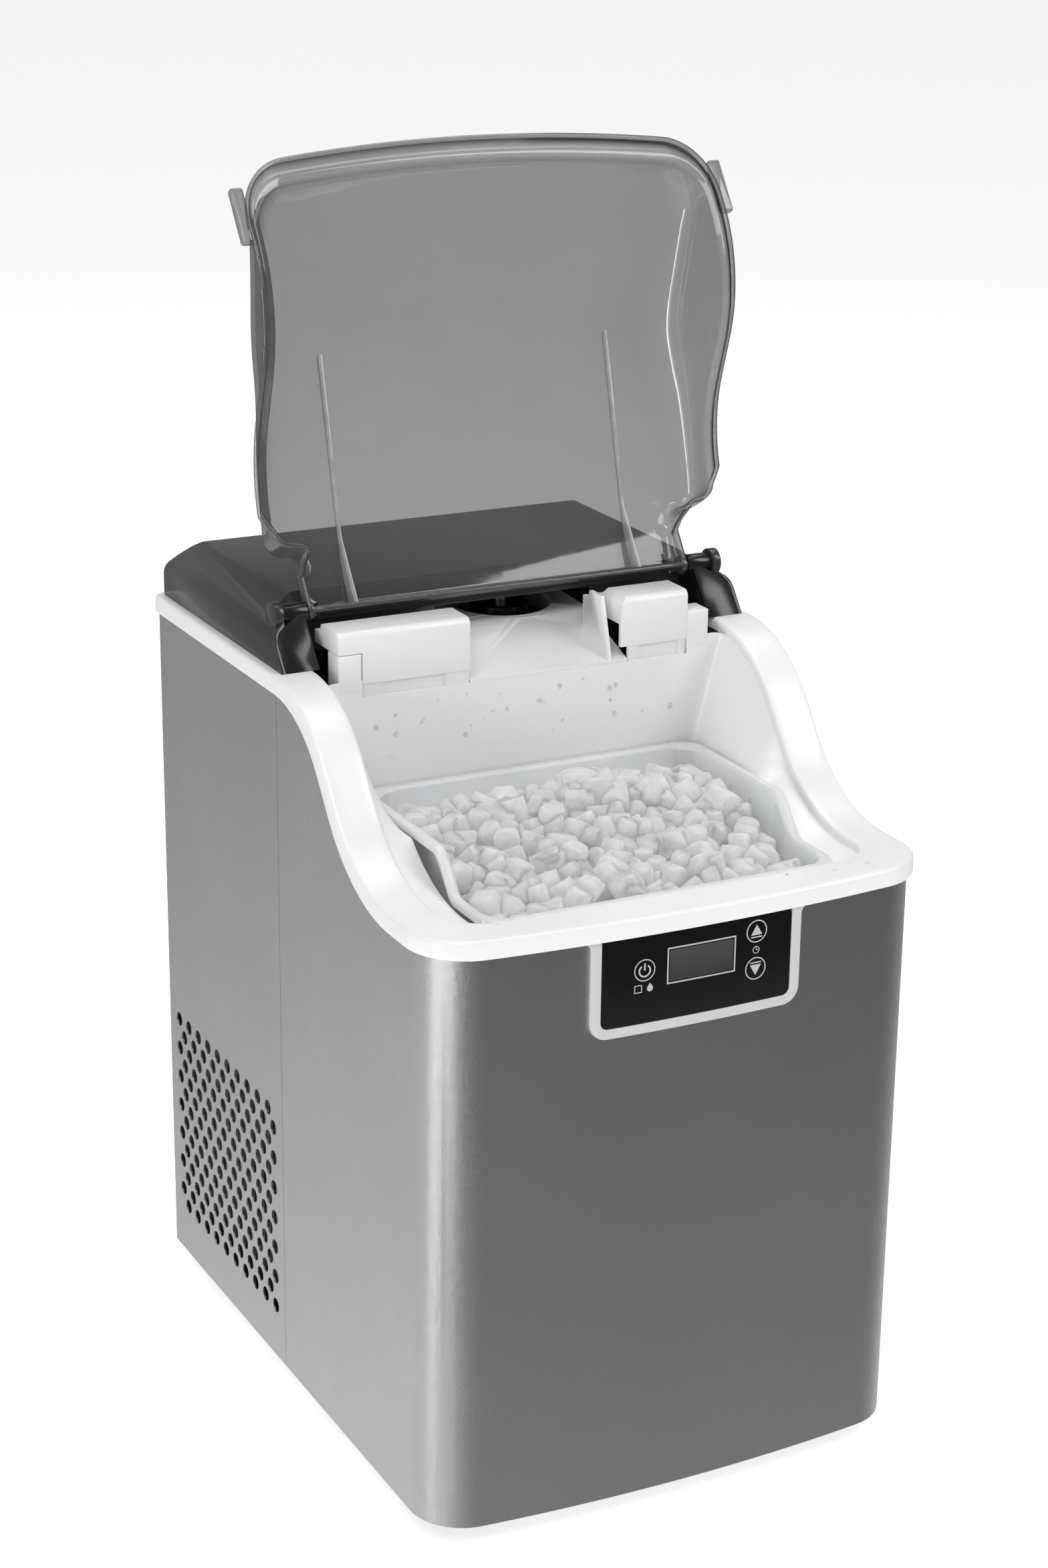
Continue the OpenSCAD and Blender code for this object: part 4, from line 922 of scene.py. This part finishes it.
class ICEMAKER_OT_lid(Builder):
    """The smoked lid with its flange, ribs, finger tabs and hinge bosses"""

    bl_idname = "icemaker.lid"
    bl_label = "Lid"

    rear = 35.5
    neck = 109.7

    def execute(self, context):
        bm = bmesh.new()
        self.shell(bm)
        self.turn_open(bm)
        piece = finish_piece("lid_shell", bm, "lid", "smoked_plastic", ["lid"], angle=28)
        wall(piece, shape("lid_wall"))
        # the ribs take the rib shader, whose light grey base colour is a painted highlight
        for name, make, look in (("lid_ribs", self.ribs, "rib_plastic"), ("lid_tabs", self.tabs, None),
                                 ("lid_bosses", self.bosses, None)):
            extra = bmesh.new()
            make(extra)
            self.turn_open(extra)
            finish_piece(name, extra, "lid", "smoked_plastic", [], angle=30, look=look)
        return {"FINISHED"}

    def turn_open(self, bm):
        """Swings the closed lid open about its hinge."""
        bmesh.ops.rotate(bm, verts=bm.verts[:], cent=HINGE, matrix=Matrix.Rotation(-LID_OPEN, 3, "X"))

    def hood(self, x, y):
        """Height of the closed hood's top, with its two creases smoothed."""
        def smooth_min(a, b, reach):
            h = max(reach - abs(a - b), 0) / reach
            return min(a, b) - h * h * reach / 4

        middle = max(0.0, 1 - (x / 125) ** 2)
        slope = 329 + 0.963 * (y + 161.5) + 5 * middle
        roof = 394 + 0.3606 * (y + 94)
        flat = 431.5 + 0.078 * (y - 10)
        return smooth_min(smooth_min(slope, roof, 6.5), flat, 4)

    def outline(self, half):
        """Outline of the hood from the rear right corner round the front, with its necked rear."""
        front_r, bowed = 24, 6.4
        right = [(self.neck, y) for y in (self.rear, 33, 30, 26, 22, 18, 15)]
        right += arc((self.neck + 5, 12), 5, 180, 262, 6)
        right += arc((half - 12, -5), 12, 82, 0, 9)
        front_side = -161.5 + bowed + front_r
        right += [(half, -5 + (front_side + 5) * i / 46) for i in range(1, 46)]
        right += arc((half - front_r, front_side), front_r, 0, -84, 14)
        last_x, last_y = right[-1]
        across = 24
        front = [(last_x * (1 - i / across), last_y - (last_y + 161.5) * (1 - (1 - i / across) ** 2))
                 for i in range(1, across + 1)]
        mirrored = [(-x, y) for x, y in reversed(right + front[:-1])]
        back = [(-self.neck + 2 * self.neck * i / 20, self.rear) for i in range(1, 20)]
        return right + front + mirrored + back

    def normals(self, points):
        """Outward directions of a closed outline that runs clockwise."""
        count = len(points)
        out = []
        for i in range(count):
            (x0, y0), (x1, y1) = points[i - 1], points[(i + 1) % count]
            dx, dy = x1 - x0, y1 - y0
            size = math.hypot(dx, dy) or 1
            out.append((-dy / size, dx / size))
        return out

    def shell(self, bm):
        """Outer face of the flange and hood."""
        half = shape("hood_half")
        points = self.outline(half)
        out = self.normals(points)
        lift, thick = 0.7, 4.0

        def flange_width(x, y, nx, ny):
            """Width of the flange: wide in front, narrow at the sides, none beside the neck."""
            fade = min(1.0, max(0.0, (-y - 2) / 8))
            return fade * (5.1 * abs(nx) ** 2 + 11.3 * max(0.0, -ny) ** 2)

        def base(y):
            """Height of the lid's lower edge."""
            step = min(1.0, max(0.0, (y - 9.5) / 4.5))
            return fall(y) + lift + (HINGE.z - 4.5 - fall(y) - lift) * step * step * (3 - 2 * step)

        def flange(share, rise, trim=0.0):
            loop = []
            for (x, y), (nx, ny) in zip(points, out):
                reach = max(0.0, flange_width(x, y, nx, ny) * share - trim)
                px, py = x + nx * reach, y + ny * reach
                loop.append((px, py, base(py) + rise))
            return loop

        def top(inset_share):
            """Loops over the rounded upper edge of the hood."""
            angle = math.radians(90 * inset_share)
            loop = []
            for (x, y), (nx, ny) in zip(points, out):
                low = base(y) + thick + 1.0
                fade = min(1.0, max(0.0, (-10 - y) / 50))
                room = max(0.6, self.hood(x, y) - low)
                r = min(10.5 + 8.5 * fade, room)
                inset = r * (1 - math.cos(angle)) + 0.1 * (room - r)
                px, py = x - nx * inset, y - ny * inset
                z = self.hood(px, py) - r * (1 - math.sin(angle))
                loop.append((px, py, max(z, low)))
            return loop

        loops = [flange(1, 0), flange(1, thick - 1.2), flange(1, thick - 0.35, 0.35), flange(1, thick, 1.2),
                 flange(0.12, thick), flange(0, thick + 0.4), flange(0, thick + 1.0)]
        loops += [top(i / 7) for i in range(8)]
        last = loft(bm, loops)[1]
        for vert in last:
            vert.co.z = 0
        crown = fill(bm, last)
        rows = [y * 4.0 for y in range(-42, 10)]
        columns = [x * 20.0 for x in range(-6, 7)]
        for axis, places in ((1, rows), (0, columns)):
            for place in places:
                faces = [f for f in bm.faces if len(f.verts) > 4 or f is crown or f.tag]
                for f in faces:
                    f.tag = True
                parts = list({g for f in faces for g in [*f.verts, *f.edges, f]})
                point, normal = Vector((0, 0, 0)), Vector((0, 0, 0))
                point[axis], normal[axis] = place, 1
                made = bmesh.ops.bisect_plane(bm, geom=parts, plane_co=point, plane_no=normal, dist=1e-4)
                for g in made["geom"]:
                    if isinstance(g, bmesh.types.BMFace):
                        g.tag = True
        for vert in {v for f in bm.faces if f.tag for v in f.verts}:
            vert.co.z = self.hood(vert.co.x, vert.co.y)

    def ribs(self, bm):
        """Two blades that grow towards the hinge."""
        deck = 423.7
        for side in (-1, 1):
            top = [(y, self.hood(82, y) - 1.2) for y in range(-90, 35, 6)]
            low = [(33, deck), (-3, deck), (-13, 419.6), (-90, 390.9)]
            outline = [(side * 81, y, z) for y, z in top + low]
            verts = slab(bm, outline, side * 2.4, (1, 0, 0))
            edges = [e for e in {e for v in verts for e in v.link_edges} if e.calc_face_angle(0) > 0.6]
            round_edges(bm, edges, 0.5, 2)

    def tabs(self, bm):
        """Finger tabs at the front corners."""
        for side in (-1, 1):
            xs = sorted((side * 130.5, side * 137.4))
            block(bm, (xs[0], -151.8, 324.0), (xs[1], -122.2, 328.8), 1.4, 4)

    def bosses(self, bm):
        """Pin bosses, and the turned-down rear edge between them."""
        for side in (-1, 1):
            rod(bm, (side * (self.neck - 3.4), HINGE.y, HINGE.z), (side * self.neck, HINGE.y, HINGE.z), 4.9,
                40, 0.7)
        block(bm, (-self.neck + 2, 33.0, 421.6), (self.neck - 2, self.rear + 0.3, 424.9), 0.9)


class ICEMAKER_OT_covers(Builder):
    """The rear cover, hinge posts, and the chute with its covers"""

    bl_idname = "icemaker.covers"
    bl_label = "Covers and chute"

    def execute(self, context):
        softened("rear_cover", 0.7)
        for node, width in (("hinge_post_left", 0.8), ("hinge_post_right", 0.8), ("ice_chute", 0.6),
                            ("chute_cover_left", 0.9), ("chute_cover_right", 0.9), ("extruder_head", 0.5)):
            softened(node, width, 30)
        return {"FINISHED"}


class ICEMAKER_OT_panel(Builder):
    """The control panel: its bezel, overlay, display and printed keys"""

    bl_idname = "icemaker.panel"
    bl_label = "Control panel"

    def execute(self, context):
        self.bezel()
        self.overlay()
        self.window()
        self.prints()
        return {"FINISHED"}

    def bend(self, bm, out):
        """Wraps flat work in the XZ plane, whose depth is out of the sheet, onto the bowed front."""
        low = min(v.co.x for v in bm.verts)
        high = max(v.co.x for v in bm.verts)
        count = max(1, int((high - low) / 5))
        cut_rows(bm, 0, [low + (high - low) * i / count for i in range(1, count)])
        for vert in bm.verts:
            vert.co.y = front_y(vert.co.x, out - vert.co.y)

    def plate(self, bm, outline, depth, bevel):
        """A flat plate standing out by depth, with its front edge rounded."""
        verts = slab(bm, [(x, 0, z) for x, z in outline], -depth, (0, 1, 0))
        rim = [e for e in {e for v in verts for e in v.link_edges}
               if all(v.co.y < -depth + 1e-4 for v in e.verts) and e.calc_face_angle(0) > 0.5]
        if bevel:
            round_edges(bm, rim, bevel, 3)

    def bezel(self):
        """Light grey frame that flares into the rim above."""
        low, high = BEZEL_LOW, BEZEL_HIGH
        x1, x0 = high.x, 52.1
        top, hole_low = high.z + 0.3, OVERLAY_LOW.z - 0.1
        flare, corner, inner_r = 4.0, 9.0, 4.0
        right = arc((x1 + flare, top - flare), flare, 90, 180, 5)
        right += arc((x1 - corner, low.z + corner), corner, 0, -90, 8)
        hole = arc((x0 - inner_r, hole_low + inner_r), inner_r, -90, 0, 6) + [(x0, top)]
        outline = right + [(-x, z) for x, z in reversed(right)]
        opening = [(-x, z) for x, z in reversed(hole)] + hole
        bm = bmesh.new()
        self.plate(bm, outline + opening, 1.4, 0.5)
        self.bend(bm, 0.1)
        finish_piece("bezel_frame", bm, "cabinet", "light_grey_plastic", ["panel_bezel"], angle=30)

    def overlay(self):
        """Near-black printed film."""
        bm = bmesh.new()
        x, z0, z1 = 51.9, OVERLAY_LOW.z, OVERLAY_HIGH.z - 1.4
        self.plate(bm, rounded_rect((-x, z0), (x, z1), 4), 1.0, 0.2)
        self.bend(bm, 0.3)
        finish_piece("overlay_film", bm, "cabinet", "black_gloss", ["control_overlay"], angle=30)

    def window(self):
        """Display window, a little sunk in the film."""
        low, high = box_mm("display_window")
        bm = bmesh.new()
        self.plate(bm, rounded_rect((low.x, low.z), (high.x, high.z), 0.6, 3), 0.8, 0.0)
        self.bend(bm, 0.55)
        finish_piece("display_pane", bm, "cabinet", "display", ["display_window"], angle=30)

    def prints(self):
        """Frame round the display, rings, arrows, and the small pictograms below the keys."""
        icons_low, icons_high = box_mm("panel_icons")
        bm = bmesh.new()
        thick = 0.12

        def shape_of(outline):
            slab(bm, [(x, 0, z) for x, z in outline], -thick, (0, 1, 0))

        def ring_at(x, z, radius, width, start=0, end=360):
            steps = 40
            outer = arc((x, z), radius, start, end, steps)
            inner = arc((x, z), radius - width, end, start, steps)
            pairs = list(zip(outer, reversed(inner)))
            for (a, d), (b, c) in zip(pairs, pairs[1:]):
                shape_of([a, b, c, d])

        up = Vector((31.9, 305.1))
        down = Vector((31.9, 285.9))
        power = Vector((-29.3, 295.8))
        frame_low, frame_high = (-17.25, 286.55), (20.25, 305.05)
        (x0, z0), (x1, z1), w = frame_low, frame_high, 0.7
        for a, b in (((x0, z0), (x1, z0 + w)), ((x0, z1 - w), (x1, z1)), ((x0, z0 + w), (x0 + w, z1 - w)),
                     ((x1 - w, z0 + w), (x1, z1 - w))):
            shape_of([a, (b[0], a[1]), b, (a[0], b[1])])
        for key, sign in ((up, 1), (down, -1)):
            ring_at(key.x, key.y, 5.8, 0.55)
            shape_of([(key.x - 3.1, key.y - sign * 1.9), (key.x + 3.1, key.y - sign * 1.9),
                      (key.x, key.y + sign * 3.4)][::sign])
            shape_of([(key.x - 3.1, key.y - sign * 3.3), (key.x + 3.1, key.y - sign * 3.3),
                      (key.x + 3.1, key.y - sign * 2.7), (key.x - 3.1, key.y - sign * 2.7)][::sign])
        ring_at(power.x, power.y, 5.6, 0.5)
        ring_at(power.x, power.y - 0.3, 3.3, 0.8, 125, 415)
        shape_of(rounded_rect((power.x - 0.4, power.y - 0.2), (power.x + 0.4, power.y + 3.6), 0.3, 2))
        # clock between the arrow keys
        ring_at(31.9, 295.5, 1.9, 0.35)
        shape_of([(31.75, 295.4), (32.05, 295.4), (32.05, 296.8), (31.75, 296.8)])
        shape_of([(31.9, 295.35), (33.0, 295.35), (33.0, 295.65), (31.9, 295.65)])
        # ice cube and drop under the power key
        for a, b in (((-34.6, 284.6), (-30.6, 285.0)), ((-34.6, 288.2), (-30.6, 288.6)),
                     ((-34.6, 285.0), (-34.2, 288.2)), ((-31.0, 285.0), (-30.6, 288.2))):
            shape_of([a, (b[0], a[1]), b, (a[0], b[1])])
        shape_of([*arc((-26.3, 286.2), 1.6, 150, 390, 10), (-26.3, 289.0)])
        self.bend(bm, 1.32)
        finish_piece("panel_prints", bm, "cabinet", "print", ["panel_icons"], angle=30)


class ICEMAKER_OT_finishes(Builder):
    """Finishes for the nodes that keep their own shape"""

    bl_idname = "icemaker.finishes"
    bl_label = "Finishes"

    def execute(self, context):
        for part in frame["record"]["subparts"]:
            node = frame["nodes"][part["node"]]
            node.data.materials.clear()
            node.data.materials.append(material(part["material_slot"]))
        return {"FINISHED"}


class ICEMAKER_OT_stage(Builder):
    """Pale floor, soft studio lights and the camera"""

    bl_idname = "icemaker.stage"
    bl_label = "Stage"

    def execute(self, context):
        scene = context.scene
        self.floor(scene)
        self.world(scene)
        self.lights(scene)
        self.camera(scene)
        scene.view_settings.view_transform = "Standard"
        return {"FINISHED"}

    def floor(self, scene):
        bm = bmesh.new()
        bmesh.ops.create_grid(bm, x_segments=1, y_segments=1, size=16.0)
        mesh = bpy.data.meshes.new("floor")
        bm.to_mesh(mesh)
        bm.free()
        floor = bpy.data.objects.new("floor", mesh)
        scene.collection.objects.link(floor)
        s = Shader("floor_white")
        s.surface(Base_Color=(0.8, 0.8, 0.8), Roughness=0.9, Emission_Color=(1, 1, 1), Emission_Strength=0.7)
        mesh.materials.append(s.material)
        floor.visible_glossy = False

    def world(self, scene):
        """Studio surroundings: bright low down and to the back left, dim towards the front right."""
        world = bpy.data.worlds.new("studio")
        world.use_nodes = True
        tree = world.node_tree
        sky = next(n for n in tree.nodes if n.type == "BACKGROUND")
        sky.inputs["Color"].default_value = (1, 1, 1, 1)
        place = tree.nodes.new("ShaderNodeTexCoord")

        def ramp(direction, low, high, first, second):
            """A grey that runs from first to second as the sight line turns along a direction."""
            dot = tree.nodes.new("ShaderNodeVectorMath")
            dot.operation = "DOT_PRODUCT"
            dot.inputs[1].default_value = direction
            tree.links.new(place.outputs["Object"], dot.inputs[0])
            span = tree.nodes.new("ShaderNodeMapRange")
            span.interpolation_type = "SMOOTHSTEP"
            for name, value in (("From Min", low), ("From Max", high), ("To Min", first), ("To Max", second)):
                span.inputs[name].default_value = value
            tree.links.new(dot.outputs["Value"], span.inputs["Value"])
            return span.outputs["Result"]

        down = ramp((0, 0, -1), 0.30, 0.62, 0.0, 0.6)
        dim = ramp((0.46, -0.89, 0), -0.1, 0.7, 1.0, 0.32)
        join = tree.nodes.new("ShaderNodeMath")
        join.operation = "ADD"
        join.inputs[1].default_value = 0.32
        tree.links.new(down, join.inputs[0])
        level = tree.nodes.new("ShaderNodeMath")
        level.operation = "MULTIPLY"
        tree.links.new(join.outputs[0], level.inputs[0])
        tree.links.new(dim, level.inputs[1])
        tree.links.new(level.outputs[0], sky.inputs["Strength"])
        scene.world = world

    def lights(self, scene):
        """A soft box above and to the left, a tall strip at the left, and two fills."""
        centre = Vector((0, 0, 0.28))
        boxes = (("key", (-0.9, -1.1, 2.1), (1.3, 1.3), 18), ("strip", (-2.3, -1.1, 0.2), (0.22, 1.8), 17),
                 ("top", (0.3, 0.5, 2.2), (1.5, 1.5), 18), ("right", (1.35, -1.25, 1.75), (0.8, 1.3), 17))
        for name, place, size, power in boxes:
            data = bpy.data.lights.new(name, "AREA")
            data.shape = "RECTANGLE"
            data.size, data.size_y = size
            data.energy = power
            lamp = bpy.data.objects.new(name, data)
            lamp.location = place
            lamp.rotation_mode = "QUATERNION"
            lamp.rotation_quaternion = (centre - Vector(place)).to_track_quat("-Z", "Y")
            scene.collection.objects.link(lamp)

    def camera(self, scene):
        azimuth, elevation, roll = (math.radians(a) for a in (-27.333, 19.085, 0.711))
        back = Vector((math.sin(azimuth) * math.cos(elevation), -math.cos(azimuth) * math.cos(elevation),
                       math.sin(elevation)))
        side = Vector((0, 0, 1)).cross(back).normalized()
        rise = back.cross(side)
        right = side * math.cos(roll) + rise * math.sin(roll)
        up = rise * math.cos(roll) - side * math.sin(roll)
        data = bpy.data.cameras.new("camera")
        data.lens = 70.23
        data.clip_start, data.clip_end = 0.1, 30
        camera = bpy.data.objects.new("camera", data)
        turn = Matrix((right, up, back)).transposed().to_4x4()
        camera.matrix_world = Matrix.Translation((-0.6929, -1.33656, 0.84912)) @ turn
        scene.collection.objects.link(camera)
        scene.camera = camera


# ---- panel and registration ----------------------------------------------------------------------

BUILDERS = (ICEMAKER_OT_stage, ICEMAKER_OT_finishes, ICEMAKER_OT_steel, ICEMAKER_OT_rim, ICEMAKER_OT_covers,
            ICEMAKER_OT_panel, ICEMAKER_OT_basket, ICEMAKER_OT_ice, ICEMAKER_OT_drops, ICEMAKER_OT_lid)


class ICEMAKER_PT_panel(bpy.types.Panel):
    """Sidebar panel that lists the builders and their values"""

    bl_idname = "ICEMAKER_PT_panel"
    bl_label = "Ice maker"
    bl_space_type = "VIEW_3D"
    bl_region_type = "UI"
    bl_category = "Ice maker"

    def draw(self, context):
        for builder in BUILDERS:
            self.layout.operator(builder.bl_idname)
        for group in (context.scene.ice_maker_shape, context.scene.ice_maker_finish):
            box = self.layout.box()
            for name in group.bl_rna.properties.keys():
                if name not in ("rna_type", "name"):
                    box.prop(group, name)


CLASSES = (IceMakerShape, IceMakerFinish, *BUILDERS, ICEMAKER_PT_panel)


def register():
    for cls in CLASSES:
        bpy.utils.register_class(cls)
    bpy.types.Scene.ice_maker_shape = PointerProperty(type=IceMakerShape)
    bpy.types.Scene.ice_maker_finish = PointerProperty(type=IceMakerFinish)


def unregister():
    del bpy.types.Scene.ice_maker_finish
    del bpy.types.Scene.ice_maker_shape
    for cls in reversed(CLASSES):
        bpy.utils.unregister_class(cls)


def main():
    register()
    for builder in BUILDERS:
        group, name = builder.bl_idname.split(".")
        getattr(getattr(bpy.ops, group), name)()


if __name__ == "__main__":
    main()
